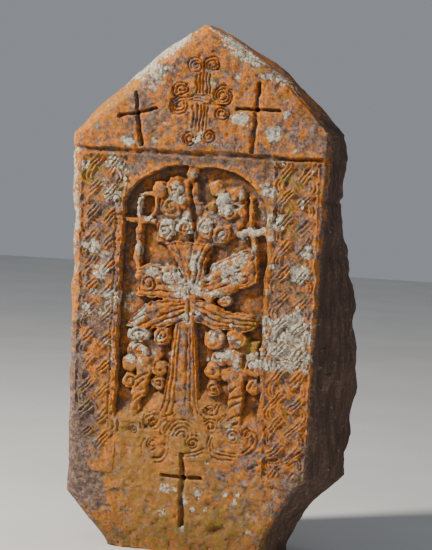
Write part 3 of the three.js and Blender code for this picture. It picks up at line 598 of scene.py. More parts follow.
def right_flare(depth, z):
    """How far the rough side stands out beyond the front edge, at a depth from 0 to 1."""
    low = RIGHT_FLARE_LOW * (1 - FOOT_TAPER * ramp(FLARE_TURN_FOOT, 0, z))
    most = low + (RIGHT_FLARE_TOP - low) * ramp(FLARE_TURN_LOW, FLARE_TURN_TOP, z)
    near = most * np.sin(np.clip(depth, 0, 0.5) * np.pi) ** SIDE_TURN
    return near - (depth > 0.5) * (most * 0.35 + BACK_INSET * 0.4) * ramp(0.5, 1, depth)


def on_gable(z):
    """0 on the walls, 1 on the slopes of the gable."""
    return ramp(*GABLE_TURN, z)


def bevel(z):
    """How far in from the left edge its worn bevel starts, and how deep the bevel goes."""
    slope = on_gable(z)
    return BEVEL_INNER[0] + BEVEL_INNER[1] * slope, BEVEL_DEEP[0] + BEVEL_DEEP[1] * slope


def bevel_depth(across, z):
    """Depth of the left bevel at a distance across from the line where it starts."""
    inner, deep = bevel(z)
    share = np.clip(across / (inner + LEFT_FLARE), 0, 1)
    return deep * (1 - (1 - share ** BEVEL_ROUND) ** (1 / BEVEL_ROUND))


def left_flare(depth, z):
    """How far the left side stands out beyond the front edge: the end of the bevel, then inwards."""
    inner, deep = bevel(z)
    share = np.clip(1 - depth * THICKNESS / deep, 0, 1)
    out = (inner + LEFT_FLARE) * (1 - share ** BEVEL_ROUND) ** (1 / BEVEL_ROUND) - inner
    return out - BACK_INSET * ramp(0.35, 1, depth)


def top_flare(depth):
    """How far the ridge of the gable stands above its front edge."""
    return TOP_LIFT * ramp(0, 0.16, depth) - BACK_INSET * 0.8 * ramp(0.45, 1, depth)


def hewn(z, depth, sign):
    """Broad waves left on the sides by the hewing."""
    waves = np.sin(z * 0.017 + depth * 5 + sign) + np.sin(z * 0.041 - depth * 9 + 2 * sign)
    return HEWN * ramp(0, 0.2, depth) * waves


def carried_back(x, z, depth, side):
    """Where a point of the front outline goes at a depth from 0, the front, to 1, the back."""
    in_gable = ramp(side["shoulder_z"] - 60, HEIGHT, z)
    if side is RIGHT:
        flare = right_flare(depth, z) * (1 - 0.4 * in_gable)
    else:
        flare = left_flare(depth, z)
    on_tip = np.minimum(1, np.abs(x - APEX_X) / TIP_EASE)
    rough = rough_side(z, depth, side)
    out = (flare + hewn(z, depth, side["sign"]) - rough) * on_tip
    out = np.maximum(out, -MOST_INWARD * np.abs(x - APEX_X))
    lift = top_flare(depth) * in_gable * np.minimum(1, z)
    return np.stack(np.broadcast_arrays(
        x + side["sign"] * out, FACE_Y + depth * THICKNESS, z + lift - 0.35 * rough * in_gable), -1)


def rough_side(z, depth, side):
    """How far weather and hewing ate into a side, never less than nothing."""
    sign = side["sign"]
    ridges = np.abs(NOISE.fractal(depth * 6.0, z / 260.0, 5.0 * sign, 4))
    lumps = NOISE.fractal(z / 70.0, depth * 4.5, 9.0 * sign, 5) + 0.4
    depth_share = ramp(0.02, 0.16, depth)
    eaten = 0.8 * ridges + 0.7 * np.maximum(lumps, 0)
    return side["rough"] * depth_share * eaten + 1.2 * ramp(0, 0.05, depth)


def back_surface(x, z):
    """The rough back: flat planes knocked off, then pocked by the hammer."""
    depth = np.full(np.broadcast(x, z).shape, FACE_Y + THICKNESS)
    for x0, z0, turn, tilt in BACK_PLANES:
        level, slope = math.cos(tilt), math.sin(tilt)
        normal = np.array([-math.sin(turn) * level, math.cos(turn) * level, slope])
        plane = FACE_Y + THICKNESS - (normal[0] * (x - x0) + normal[2] * (z - z0)) / normal[1]
        depth = np.minimum(depth, plane)
    facets = np.abs(NOISE.fractal(x / 150.0, 2.0, z / 180.0, 4)) * 16.0
    pocks = np.maximum(NOISE.fractal(x / 26.0, 4.0, z / 26.0, 3), 0) * 3.5
    return depth - facets - pocks


def section_levels():
    """Heights of the sections, evenly spaced from the ground to the top."""
    rows = int(TOP_Z / ROW_STEP)
    return np.linspace(0, TOP_Z, rows + 1)


# The carved front

def hump(distance, half):
    """A round section: 1 on the line, 0 from its half width on."""
    return np.clip(1 - (distance / half) ** 2, 0, 1)


def stray(x, z, layer):
    """Share by which a worn line strays: broad waves with fine ones on them."""
    broad = NOISE.fractal(x / STRAY_BROAD, layer, z / STRAY_BROAD, 3)
    return broad + STRAY_SHARE * NOISE.at(x / STRAY_FINE, layer + 2.0, z / STRAY_FINE)


class Front:
    """Height map of the front. Heights are in millimetres, 0 at the front plane, negative into the stone.

    true_x and true_z say where each point lies, x and z where it lay before its lines strayed.
    """

    def __init__(self, x, z, sizes):
        self.levels = z[:, 0]
        self.true_x = x
        self.true_z = z
        self.x = x + sizes.wander * stray(x, z, 1.0)
        self.z = z + sizes.wander * stray(x, z, 21.0)
        self.h = np.full(x.shape, -FACE_SKIN)
        self.sizes = sizes
        self.wear = np.clip(0.9 + 0.8 * NOISE.at(x / 33.0, 41.0, z / 33.0), 0.25, 1.3)
        self.ragged = RAGGED * NOISE.fractal(x / 15.0, 43.0, z / 15.0, 2)

    def rows(self, low, high):
        """The rows of the map between two heights, with a margin for lines that stray."""
        margin = 3 * self.sizes.wander
        return slice(*np.searchsorted(self.levels, [low - margin, high + margin]))

    def raised(self, rows, inside, height):
        """Raise the stone to a height wherever a distance is inside a shape."""
        block = self.h[rows]
        height = height + 0.5 * self.ragged[rows]
        self.h[rows] = np.where(inside > 0, np.maximum(block, height), block)

    def cut(self, rows, distance, half, depth, worn=1.0):
        """Cut a round-bottomed line, shallower where it is worn."""
        depth = depth * (1 + worn * (self.wear[rows] - 1))
        self.h[rows] -= depth * hump(distance, half)

    def groove(self, points, half, depth, worn=1.0):
        """Cut a line along a route."""
        points = np.asarray(points, dtype=float)
        rows = self.rows(points[:, 1].min() - half, points[:, 1].max() + half)
        self.cut(rows, path_distance(self.x[rows], self.z[rows], points), half, depth, worn)

    def slab(self, points, top, floor, edge, ribs=0.0):
        """A flat-topped shape with worn edges, and one line cut parallel to its outline."""
        points = np.asarray(points, dtype=float)
        rows = self.rows(points[:, 1].min(), points[:, 1].max())
        inside = outline_distance(self.x[rows], self.z[rows], points) + self.ragged[rows]
        height = floor + (top - floor) * smooth(inside / edge)
        if ribs:
            height = height - ribs * hump(inside - RIB_INSET, RIB_HALF)
        self.raised(rows, inside, height)

    def member(self, start, end, width, top, floor):
        """A straight moulding with a round top."""
        rows = self.rows(min(start[1], end[1]) - width, max(start[1], end[1]) + width)
        inside = width / 2 - path_distance(self.x[rows], self.z[rows], [start, end]) + self.ragged[rows]
        to_rim = (1 - np.clip(inside / (width / 2), 0, 1)) ** 2
        height = floor + (top - floor) * smooth(inside / WALL_RUN) - MEMBER_ROUND * to_rim
        self.raised(rows, inside, height)

    def curl(self, x, z, radius, top, floor, squash=1.0, start=0.0, turns=0.0):
        """A worn round boss, with a spiral cut into it where it has turns."""
        rows = self.rows(z - radius * squash, z + radius * squash)
        reach = (np.hypot(self.x[rows] - x, (self.z[rows] - z) / squash) - self.ragged[rows]) / radius
        dome = hump(reach, 1)
        height = floor + (top - floor) * np.minimum(1, (dome * 2.6)) ** 0.7 - CURL_FALL * reach ** 2
        self.raised(rows, 1 - reach, height)
        if turns:
            spiral = spiral_points(x, z, radius * SPIRAL_SHARE, start, turns, squash)
            self.groove(spiral, SPIRAL_HALF, self.sizes.line_depth * 1.05)


def path_distance(x, z, points):
    """Distance to a chain of straight pieces."""
    nearest = np.full(x.shape, np.inf)
    points = np.asarray(points, dtype=float)
    for (ax, az), (bx, bz) in zip(points[:-1], points[1:]):
        dx, dz = bx - ax, bz - az
        length = dx * dx + dz * dz + 1e-9
        t = np.clip(((x - ax) * dx + (z - az) * dz) / length, 0, 1)
        nearest = np.minimum(nearest, (x - ax - t * dx) ** 2 + (z - az - t * dz) ** 2)
    return np.sqrt(nearest)


def outline_distance(x, z, points):
    """Distance to a closed outline, positive inside it."""
    closed = np.vstack([points, points[:1]])
    inside = np.zeros(x.shape, dtype=bool)
    for (ax, az), (bx, bz) in zip(closed[:-1], closed[1:]):
        if az == bz:
            continue
        crosses = (az > z) != (bz > z)
        inside ^= crosses & (x < (bx - ax) * (z - az) / (bz - az) + ax)
    distance = path_distance(x, z, closed)
    return np.where(inside, distance, -distance)


def spiral_points(x, z, radius, start, turns, squash=1.0, steps=30):
    """A spiral that winds in to a fifth of its radius."""
    t = np.linspace(0, 1, steps)
    angle = start + turns * 2 * math.pi * t
    r = radius * (1 - 0.8 * t)
    return np.stack([x + r * np.cos(angle), z + squash * r * np.sin(angle)], -1)


def bent(points, steps=14):
    """A smooth line through two or more set-out points."""
    points = np.asarray(points, dtype=float)
    t = np.linspace(0, len(points) - 1, steps)
    padded = np.vstack([2 * points[0] - points[1], points, 2 * points[-1] - points[-2]])
    i = np.minimum(t.astype(int), len(points) - 2)
    u = (t - i)[:, None]
    p0, p1, p2, p3 = (padded[i + k] for k in range(4))
    return 0.5 * (2 * p1 + (p2 - p0) * u + (2 * p0 - 5 * p1 + 4 * p2 - p3) * u ** 2
                  + (3 * p1 - p0 - 3 * p2 + p3) * u ** 3)


def from_crossing(points):
    """Points of the front from points set out from the crossing."""
    return [(CROSS_X + x, CROSS_Z + z) for x, z in points]


def shaft_half(drop):
    """Half width of the shaft at a drop below the crossing."""
    flare = SHAFT_FLARE * np.maximum(0, (drop - FLARE_DROP) / 100) ** 1.6
    return SHAFT_HALF + SHAFT_SPREAD * (drop / FLARE_DROP) + flare


def arch_inside(front):
    """Distance inside the niche, roughly in millimetres."""
    x, z = front.x, front.z
    walls = NICHE_HALF - np.abs(x - NICHE_X)
    sill = z - NICHE_SILL
    share = (np.abs(x - NICHE_X) / NICHE_HALF) ** ARCH_FULLNESS
    rise = np.clip((z - SPRING_Z) / ARCH_RISE, 0, None) ** ARCH_FULLNESS
    arch = (1 - (share + rise) ** (1 / ARCH_FULLNESS)) * ARCH_RISE
    return np.minimum(np.where(z > SPRING_Z, arch, walls), sill)


def hollow_niche(front):
    """Sink the niche. Its floor rises towards the sill and is shallower at the upper right."""
    inside = arch_inside(front)
    from_middle = np.abs(front.x - NICHE_X)
    rise_end = FLOOR_RISE_Z + FLOOR_RISE_MIDDLE * (1 - ramp(60, 190, from_middle))
    risen = smooth((rise_end + SILL_RAMP - front.z) / SILL_RAMP)
    depth = front.sizes.niche_depth * (1 - FLOOR_RISE_SHARE * risen)
    depth = depth * (1 - 0.3 * ramp(90, 250, front.x) * ramp(960, 1100, front.z))
    floor = -depth + 3.0 * NOISE.fractal(front.x / 45, 8.0, front.z / 45, 3)
    at_sill = smooth((front.z - NICHE_SILL) / SILL_EASE)
    sunk = -FACE_SKIN + (floor + FACE_SKIN) * smooth(inside / WALL_RUN) * at_sill
    front.h = np.where(inside > 0, sunk, front.h)
    return inside


def carve_niche(front):
    """Hollow the niche and leave the cross, its leaves and the small crosses standing in it."""
    inside = hollow_niche(front)
    rows = front.rows(NICHE_SILL, SPRING_Z + ARCH_RISE)
    line_depth = front.sizes.line_depth
    floor = -front.sizes.niche_depth
    top = -front.sizes.relief_top - FACE_SKIN
    for outline in BACKING:
        front.slab(from_crossing(outline), top - BACKING_DROP, floor, BACKING_RUN)
    for start, end, width, offset in MEMBERS:
        front.member(start, end, width, top + offset, floor)
    carve_small_ring(front, top - 4, floor)
    for outline in ARMS.values():
        front.slab(from_crossing(outline), top, floor, WALL_RUN, ribs=line_depth * 0.8)
    carve_shaft(front, top, floor)
    for fold in FOLDS:
        front.groove(bent(from_crossing(fold)), FOLD_HALF, line_depth)
    for x, z, radius, offset, squash, *spiral in CURLS:
        front.curl(CROSS_X + x, CROSS_Z + z, radius, top + offset + CURL_PROUD, floor, squash, *spiral)
    carve_leaf_stems(front)
    below_face = np.minimum(front.h[rows], -FACE_SKIN - 0.5)
    front.h[rows] = np.where(inside[rows] > 0, below_face, front.h[rows])
    # a moulding round the niche, outside its edge
    on_wall = (front.z > NICHE_SILL + 20) & (front.z < SPRING_Z + 40)
    line = hump(-inside - MOULDING_OUT, MOULDING_HALF) * on_wall
    front.h -= line_depth * 0.8 * line


def carve_small_ring(front, top, floor):
    """The ring of the small left cross, open in the middle."""
    x, z, across, up, half = SMALL_RING
    rows = front.rows(z - up - 20, z + up + 20)
    reach = np.hypot((front.x[rows] - x) / across, (front.z[rows] - z) / up)
    inside = half - np.abs(reach - 1) * (across + up) / 2
    height = floor + (top - floor) * smooth(inside / RING_RUN)
    front.raised(rows, inside, height)


def carve_shaft(front, top, floor):
    """The fluted shaft of the cross, which spreads towards the sill."""
    rows = front.rows(NICHE_SILL - 8, CROSS_Z)
    drop = CROSS_Z - front.true_z[rows] - SHAFT_STRAY * (front.z - front.true_z)[rows]
    x = front.true_x[rows] + SHAFT_STRAY * (front.x - front.true_x)[rows]
    x = x - CROSS_X + SHAFT_SHIFT * smooth(drop / SHAFT_SHIFT_DROP) + SHAFT_LEAN * drop / SHAFT_LENGTH
    half = shaft_half(drop)
    inside = half - np.abs(x)
    inside = np.minimum(inside, np.minimum(drop, front.z[rows] - NICHE_SILL + 30))
    height = floor + (top - floor) * smooth(inside / RING_RUN)
    share = np.abs(x) / half
    fade = smooth((drop - FLUTE_START) / 24) * smooth((FLUTE_END - drop) / 40)
    for place, width, worn in FLUTES:
        flute = hump(np.abs(share - place) * half, width)
        height = height - fade * worn * front.sizes.line_depth * flute
    # between the flutes the middle is a little sunk, with a rib in its upper part
    rib = hump(x - 3, 9) * smooth((drop - 120) / 30) * smooth((280 - drop) / 60)
    height = height - 1.5 * fade * smooth((0.4 - share) / 0.1) + 3.0 * rib
    front.raised(rows, inside, height)
    front.h[rows] = np.where(inside > 4, height, front.h[rows])


def carve_leaf_stems(front):
    """Slanting cuts that give the stems of the leaves a twist."""
    for (x0, z0), (x1, z1), reach in LEAF_STEMS:
        for t, share in TWISTS:
            x, z = x0 + (x1 - x0) * t, z0 + (z1 - z0) * t
            cut = [(x - reach * share, z - 12), (x - 2, z + 1), (x + reach * share, z + 14)]
            front.groove(bent(cut), TWIST_HALF, front.sizes.line_depth * 0.65, 1.6)


def carve_border(front, side):
    """Sink one border and lay its plait: three strands over each crossing, turning back at both edges."""
    centre = side * BORDER_CENTRE
    border_sink = front.sizes.border_sink
    rows = front.rows(BORDER_BOTTOM - 20, BORDER_TOP + 10)
    x, z = front.x[rows], front.z[rows]
    ends = BORDER_ENDS * np.minimum(BORDER_TOP - z, z - BORDER_BOTTOM)
    inside = np.minimum(BORDER_WIDTH / 2 - np.abs(x - centre), ends) + BORDER_MARGIN
    fade = smooth((z - BORDER_BOTTOM) / 50)
    if side < 0:
        # the foot of the left border is worn away on a slant
        fade = fade * smooth((z - 250 + 1.6 * (x - centre)) / 130) * smooth((z - 280) / 90)
    sunk = -FACE_SKIN - border_sink * smooth(inside / BORDER_RUN) * fade
    plait = plait_height(x - centre, z)
    lifted = sunk + (border_sink - 0.5) * np.clip(plait, 0, 1.05) * fade * front.wear[rows] ** 0.5
    block = front.h[rows]
    front.h[rows] = np.where(inside > 0, np.where(plait > 0, lifted, sunk), block)


def plait_height(x, z):
    """Height of the plait of a border, about 0 to 1, at a distance across from its middle."""
    column = BORDER_WIDTH / 4
    rise = PLAIT_PITCH / 2
    length = math.hypot(column, rise)
    along = np.array([column, rise]) / length
    count = int((BORDER_TOP - BORDER_BOTTOM) // PLAIT_PITCH)
    slack = (BORDER_TOP - BORDER_BOTTOM - count * PLAIT_PITCH) / 2
    plait = np.full(x.shape, -np.inf)
    for row in range(2 * count + 1):
        level = BORDER_BOTTOM + slack + row * rise
        for col in ((0,) if row % 2 else (-1, 1)):
            lean = -1 if col == 0 else 1
            reach = (0.66 if col else 0.52) * length
            for on_top in (False, True):
                tilt = lean if on_top else -lean
                height = ribbon(x - col * column, z - level, tilt * along[0], along[1], reach, on_top)
                plait = np.maximum(plait, height if col else 0.8 * height)
        if row % 2 == 0:
            for edge in (-1, 1):
                plait = np.maximum(plait, turn(x - edge * column * 1.12, z - level - rise, edge))
    return plait


def strand_profile(across):
    """Round tops of the strands that make up a ribbon."""
    reach = STRAND_GAP * STRANDS / 2
    wave = np.abs(np.cos(np.pi * (across / STRAND_GAP + (0.0 if STRANDS % 2 else 0.5))))
    return np.where(np.abs(across) < reach, wave ** 0.8, 0.0)


def ribbon(dx, dz, ax, az, reach, on_top):
    """Height of one ribbon at a crossing, from 0, the floor, to 1."""
    t = dx * ax + dz * az
    across = -dx * az + dz * ax
    fall = hump(t, reach)
    height = strand_profile(across) * ((0.45 + 0.55 * fall) if on_top else 0.5 * fall)
    return np.where(np.abs(t) < reach, height, 0.0)


def turn(dx, dz, edge):
    """Strands bending back at the edge of a border."""
    radius = np.hypot(dx, dz * 0.9)
    bend = strand_profile(radius - TURN_RADIUS) * 0.72
    return np.where((dx * edge > 2) & (radius < TURN_RADIUS + STRAND_GAP * 1.5), bend, 0.0)


def carve_gable_cross(front):
    """Bundles of lines that end in paired curls."""
    line_depth = front.sizes.line_depth
    for x, z, radius, start, winding in GABLE_CURLS:
        turns = winding * 0.8 * radius / GABLE_PITCH
        curl = spiral_points(x, z, radius, start, turns, 1.0, 48)
        front.groove(curl, GABLE_CURL_HALF, line_depth * 1.15, 0.6)
    for line in GABLE_STEMS:
        front.groove(bent(line), GABLE_STEM_HALF, line_depth, 0.6)


def carve_plain_crosses(front):
    """Two strokes each, the upright a little wider below the arms."""
    stroke_depth = front.sizes.stroke_depth
    for x, z, up, down, arm, lean, fall, half in PLAIN_CROSSES:
        front.groove([(x + up * lean, z + up), (x, z)], half, stroke_depth, 0.5)
        front.groove([(x, z), (x - down * lean, z - down)], half + 1.0, stroke_depth, 0.5)
        arms = [(x - arm, z - arm * fall), (x + arm, z + arm * fall)]
        front.groove(arms, ARM_HALF, stroke_depth * 1.15, 0.3)


def carve_foot(front):
    """Rings of the roundel and the worn scrolls round it."""
    line_depth = front.sizes.line_depth
    rows = front.rows(ROUNDEL_Z - 75, ROUNDEL_Z + 75)
    dx, dz = front.x[rows] - ROUNDEL_X, front.z[rows] - ROUNDEL_Z
    radius = np.hypot(dx, dz)
    angle = np.arctan2(dz, dx)
    # the rings are worn away below, and faint at the lower left
    below = smooth((radius - 30) / 10) * (np.sin(angle) < 0)
    open_side = smooth((np.sin(angle) + 0.45) / 0.5) * (1 - 0.5 * below)
    low_left = 0.4 * smooth((-np.cos(angle) - 0.1) / 0.5) * (radius > 22)
    for ring, share in RINGS:
        line = hump(radius - ring, RING_HALF) * np.maximum(open_side, low_left)
        front.h[rows] -= line_depth * 0.85 * share * line
    for x, z, r, start, turns in SCROLLS:
        for share in (1.0, 0.62):
            scroll = spiral_points(x, z, r * share, start, turns * share)
            front.groove(scroll, SCROLL_HALF, line_depth * 0.75)
    for line, half, share in FOOT_LINES:
        front.groove(bent(line), half, line_depth * share)


def weather(front):
    """Waves, lumps, pits and breaks that weather left on the front."""
    x, z = front.true_x, front.true_z
    front.h -= WAVE_DEPTH * (NOISE.fractal(x / 130, 31.0, z / 130, 3) + 1.0)
    front.h += LUMP_HEIGHT * NOISE.fractal(x / 21, 33.0, z / 21, 2, 0.5)
    pits = np.maximum(NOISE.fractal(x / 15, 37.0, z / 15, 1) - 0.5, 0)
    front.h -= PIT_DEPTH * pits
    spall = ramp(0.4, 0.8, NOISE.fractal(x / 60, 39.0, z / 60, 2))
    front.h -= SPALL_DEPTH * spall
    hole_x, hole_wide, hole_z, hole_high = HOLE
    hole = np.exp(-(((x - hole_x) / hole_wide) ** 2 + ((z - hole_z) / hole_high) ** 2))
    front.h -= HOLE_DEPTH * hole
    # the left arris and both gable slopes are worn round, the right arris is sharp
    slope = on_gable(z)
    front.h -= bevel_depth(bevel(z)[0] - (x - x[:, :1]), z)
    from_right = (x[:, -1:] - x) * (1 - 0.38 * slope)
    reach = RIGHT_WEAR_REACH[0] + RIGHT_WEAR_REACH[1] * slope
    front.h -= (RIGHT_WEAR[0] + RIGHT_WEAR[1] * slope) * np.clip(1 - from_right / reach, 0, 1) ** 2


def blurred(grid, reach):
    """The mean over neighbours, first up and down, then across."""
    for axis in (0, 1):
        total = grid.copy()
        for step in range(1, reach + 1):
            for shift in (-step, step):
                total += np.roll(grid, shift, axis)
        grid = total / (2 * reach + 1)
    return grid


def carved_front(levels, sizes):
    """The height map of the whole front, carved and weathered."""
    u = np.linspace(0, 1, FRONT_COLUMNS)
    left = edge_x(LEFT, levels)
    right = edge_x(RIGHT, levels)
    x = left[:, None] + (right - left)[:, None] * u
    z = np.repeat(levels[:, None], FRONT_COLUMNS, 1)
    front = Front(x, z, sizes)
    front.h -= FIELD_DROP * smooth((GROOVE_Z - front.z) / 6)
    front.groove(GROOVE_ROUTE, GROOVE_HALF, sizes.stroke_depth * 0.85, 0.3)
    for side in (-1, 1):
        carve_border(front, side)
    carve_niche(front)
    carve_foot(front)
    carve_gable_cross(front)
    carve_plain_crosses(front)
    weather(front)
    front.h = np.minimum(front.h, HIGHEST)
    return front


# From sections to a mesh

def stone_sections(sizes):
    """Points of every level's closed section, in metres, and the carved front."""
    levels = section_levels()
    front = carved_front(levels, sizes)
    face = np.stack([front.true_x, FACE_Y - front.h, front.true_z], -1)
    near = FRONT_REACH / THICKNESS
    depths = np.concatenate([np.linspace(0, near, NEAR_COLUMNS + 1)[1:],
                             np.linspace(near, 1, SIDE_COLUMNS - NEAR_COLUMNS + 1)[1:]])[None, :]
    strips = []
    for side, column in ((RIGHT, -1), (LEFT, 0)):
        edge = front.true_x[:, column][:, None]
        worn = -front.h[:, column][:, None]
        start = bevel_depth(bevel(levels)[0], levels)[:, None] / THICKNESS if side is LEFT else 0.0
        depth = start + (1 - start) * depths
        strip = carried_back(edge, levels[:, None], depth, side)
        strip[..., 1] += np.maximum(0, worn - start * THICKNESS) * ramp(0.12, 0, depth - start)
        strip[..., 1] = np.minimum(strip[..., 1], back_surface(strip[..., 0], strip[..., 2]))
        strips.append(strip)
    right, left = strips
    u = np.linspace(0, 1, BACK_COLUMNS + 2)[1:-1][None, :, None]
    back = right[:, -1:, :] * (1 - u) + left[:, -1:, :] * u
    back[..., 1] = back_surface(back[..., 0], back[..., 2])
    ring = np.concatenate([face, right, back, left[:, ::-1]], 1)
    return ring * MM, front


def closed_mesh(name, ring):
    """A mesh from stacked closed sections. It has a flat foot, and a ridge joins both sides at the top."""
    rows, columns, _ = ring.shape
    points = ring.reshape(-1, 3)
    points = np.vstack([points, ring[0].mean(0)])
    index = np.arange(rows * columns).reshape(rows, columns)
    after = np.roll(index, -1, 1)
    quads = np.stack([index[:-1], after[:-1], after[1:], index[1:]], -1).reshape(-1, 4)
    foot_fan = np.stack([after[0], index[0], np.full(columns, rows * columns)], -1)
    front, right, back, left = np.split(index[-1], np.cumsum([FRONT_COLUMNS, SIDE_COLUMNS, BACK_COLUMNS]))
    left = left[::-1]
    ridge = np.stack([right[:-1], right[1:], left[1:], left[:-1]], -1)
    front_end = [*front, right[0], left[0]]
    back_end = [right[-1], *back, left[-1]]
    loops = np.concatenate([quads.ravel(), foot_fan.ravel(), ridge.ravel(), front_end, back_end])
    sizes = np.concatenate([np.full(len(quads), 4), np.full(columns, 3), np.full(len(ridge), 4),
                            [len(front_end), len(back_end)]])
    starts = np.concatenate([[0], np.cumsum(sizes)[:-1]])
    mesh = bpy.data.meshes.new(name)
    mesh.vertices.add(len(points))
    mesh.vertices.foreach_set("co", points.ravel())
    mesh.loops.add(len(loops))
    mesh.loops.foreach_set("vertex_index", loops)
    mesh.polygons.add(len(sizes))
    mesh.polygons.foreach_set("loop_start", starts)
    mesh.update(calc_edges=True)
    mesh.validate()
    return mesh


def place(name, mesh):
    """A mesh as an object of the scene, at the origin."""
    piece = bpy.data.objects.new(name, mesh)
    bpy.context.scene.collection.objects.link(piece)
    return piece


def baked(piece, name):
    """The evaluated object as a plain mesh."""
    graph = bpy.context.evaluated_depsgraph_get()
    graph.update()
    mesh = bpy.data.meshes.new_from_object(piece.evaluated_get(graph), depsgraph=graph)
    mesh.name = name
    return mesh


def positions(mesh):
    """The points of a mesh, one row each."""
    points = np.empty(len(mesh.vertices) * 3)
    mesh.vertices.foreach_get("co", points)
    return points.reshape(-1, 3)


def kept_in_box(mesh):
    """The points of a mesh, none of them outside the box of the solid."""
    return np.clip(positions(mesh), np.array(CAD_BOX[0]) + BOX_MARGIN, np.array(CAD_BOX[1]) - BOX_MARGIN)


def patch_sum(patches, x, z):
    """Strength of a list of growths at each point, soft towards their rims."""
    total = np.zeros(x.shape)
    for px, pz, rx, rz, strength, *turned in patches:
        near = (np.abs(x - px) < 1.6 * max(rx, rz)) & (np.abs(z - pz) < 1.6 * max(rx, rz))
        if not near.any():
            continue
        angle = math.radians(turned[0]) if turned else 0.0
        cos, sin = math.cos(angle), math.sin(angle)
        dx, dz = x[near] - px, z[near] - pz
        reach = np.hypot((dx * cos + dz * sin) / rx, (dz * cos - dx * sin) / rz)
        total[near] = np.maximum(total[near], strength * (1 - smooth((reach - 0.55) / 0.95)))
    return total


def carved_maps(front):
    """Fine cuts, against a small blur of the front, hollows, against a wide one, and deep floors."""
    near = blurred(blurred(front.h, 3), 2)
    wide = blurred(blurred(near, 8), 8)
    return (np.clip((near - front.h) / FINE_RELIEF, -1, 1), np.clip((wide - front.h) / BROAD_RELIEF, -1, 1),
            ramp(*DEEP_FLOOR, -front.h))


def shade_and_dirt_in_hollows(x, z, hollows, floors, inner):
    """Painted shade, with some grime, in the hollows and on the deep floors, painted shade under the groove,
    and grime near the ground.
    """
    # painted shade with some dirt in the hollows and on the deep floors, painted shade under the groove,
    # dirt splashed up from the ground
    shade_and_dirt = (0.62 * np.maximum(hollows, 0) + 0.22 * floors) * inner
    shade_and_dirt = shade_and_dirt + 0.45 * np.exp(-((z - GROOVE_SHADE_Z) / GROOVE_SHADE_HALF) ** 2) * inner
    splashed = z + 40 * NOISE.fractal(x / 70, 13.0, z / 70, 3)
    return shade_and_dirt + 0.5 * (1 - ramp(*GROUND_DIRT, splashed))


def rough_stone(x, z, right, on_side, behind, cloud):
    """Where rough stone shows: down the right side, in patches on the back, not high on the gable."""
    rough = np.maximum(ramp(*ROUGH_FROM, x - right) * (1 - behind),
                       on_side * np.clip(0.45 + 0.55 * cloud, 0.1, 0.9))
    rough = rough * (x > 0) + (x <= 0) * on_side * behind * np.clip(0.35 + 0.5 * cloud, 0, 0.8)
    return rough * (1 - ramp(*ROUGH_END, z + 90 * cloud))


def paint(mesh, front):
    """Store where each growth sits, the painted shade and grime of the hollows, and the painted highlights,
    on the points of the mesh.
    """
    x, y, z = (positions(mesh) / MM).T
    back = y - FACE_Y
    slope = on_gable(z)
    levels = front.levels
    left = np.interp(z, levels, front.true_x[:, 0])
    right = np.interp(z, levels, front.true_x[:, -1])
    # the cell of the front that each point lies in, or the nearest one
    row = np.clip(np.interp(z, levels, np.arange(len(levels))), 0, len(levels) - 1.001)
    column = np.clip((x - left) / np.maximum(right - left, 1), 0, 1) * (FRONT_COLUMNS - 1.001)
    cuts, hollows, floors = (grid[row.astype(int), column.astype(int)] for grid in carved_maps(front))

    on_side = np.maximum(ramp(*OFF_FRONT, left - x), ramp(*OFF_FRONT, x - right))
    on_side = np.maximum(on_side, ramp(*BEHIND_FRONT, back))
    from_edge = np.minimum(x - left, right - x) - EDGE_CLEAR
    inner = np.clip(from_edge / (EDGE_FADE[0] + EDGE_FADE[1] * slope), 0, 1) * (1 - on_side)
    # painted shade in hollows, on deep floors and under the groove, with dirt in the hollows and near the
    # ground
    hollow_shade_and_dirt = shade_and_dirt_in_hollows(x, z, hollows, floors, inner)
    # ridges that stand above their surroundings get a painted highlight
    crest = np.maximum(-cuts, -hollows).clip(0, 1)
    cloud = NOISE.fractal(x / CLOUD_SIZE, y / CLOUD_SIZE, z / CLOUD_SIZE, 4)
    behind = ramp(*BACK_FROM, back + 70 * cloud)
    rough = rough_stone(x, z, right, on_side, behind, cloud)
    # the left arris: pale higher up, partly pale lichen and partly painted highlight, and through crest a
    # painted highlight all along
    arris = (1 - ramp(-4 + 14 * slope, 6 + 46 * slope, x - left)) * (x < 20) * (1 - ramp(28, 58, back))

    # growths on the sides slant and break up instead of running straight back
    slant = ramp(*GROWTH_SLANT, back)
    on_back = behind * (x > left + 60) > 0.5
    px = np.where(on_back, 40 - 0.9 * x, x + slant * (1.1 * back + 90 * cloud))
    pz = np.where(on_back, 1640 - z, z + slant * 120 * NOISE.fractal(y / 120, 3.0, z / 120, 3))
    pale = patch_sum(PALE_PATCHES, px, pz) * (1 - rough)
    pale = pale * (1 - 0.6 * np.clip(hollow_shade_and_dirt, 0, 1))
    # pale lichen and a painted highlight on the left arris
    pale = pale + 0.85 * arris * ramp(*PALE_LIT_ARRIS_FROM, z) * (1 - ramp(*PALE_LIT_ARRIS_TO, z))
    bare = np.maximum(patch_sum(BARE_PATCHES, px, pz), 0.8 * rough)
    bare = np.maximum(bare, 1.5 * arris * (1 - ramp(*BARE_ARRIS_TO, z)))
    values = {"pale": pale, "bare": bare, "ochre": patch_sum(OCHRE_PATCHES, x, z),
              "moss": patch_sum(MOSS_PATCHES, px, pz), "hollow_shade_and_dirt": np.clip(hollow_shade_and_dirt, 0, 1),
              "lines": np.maximum(cuts, 0) * inner, "rough_side": rough,
              "crest": np.maximum(crest * inner, arris)}
    for name, value in values.items():
        layer = mesh.attributes.new(name, "FLOAT", "POINT")
        layer.data.foreach_set("value", value.astype(np.float32))


# Node trees

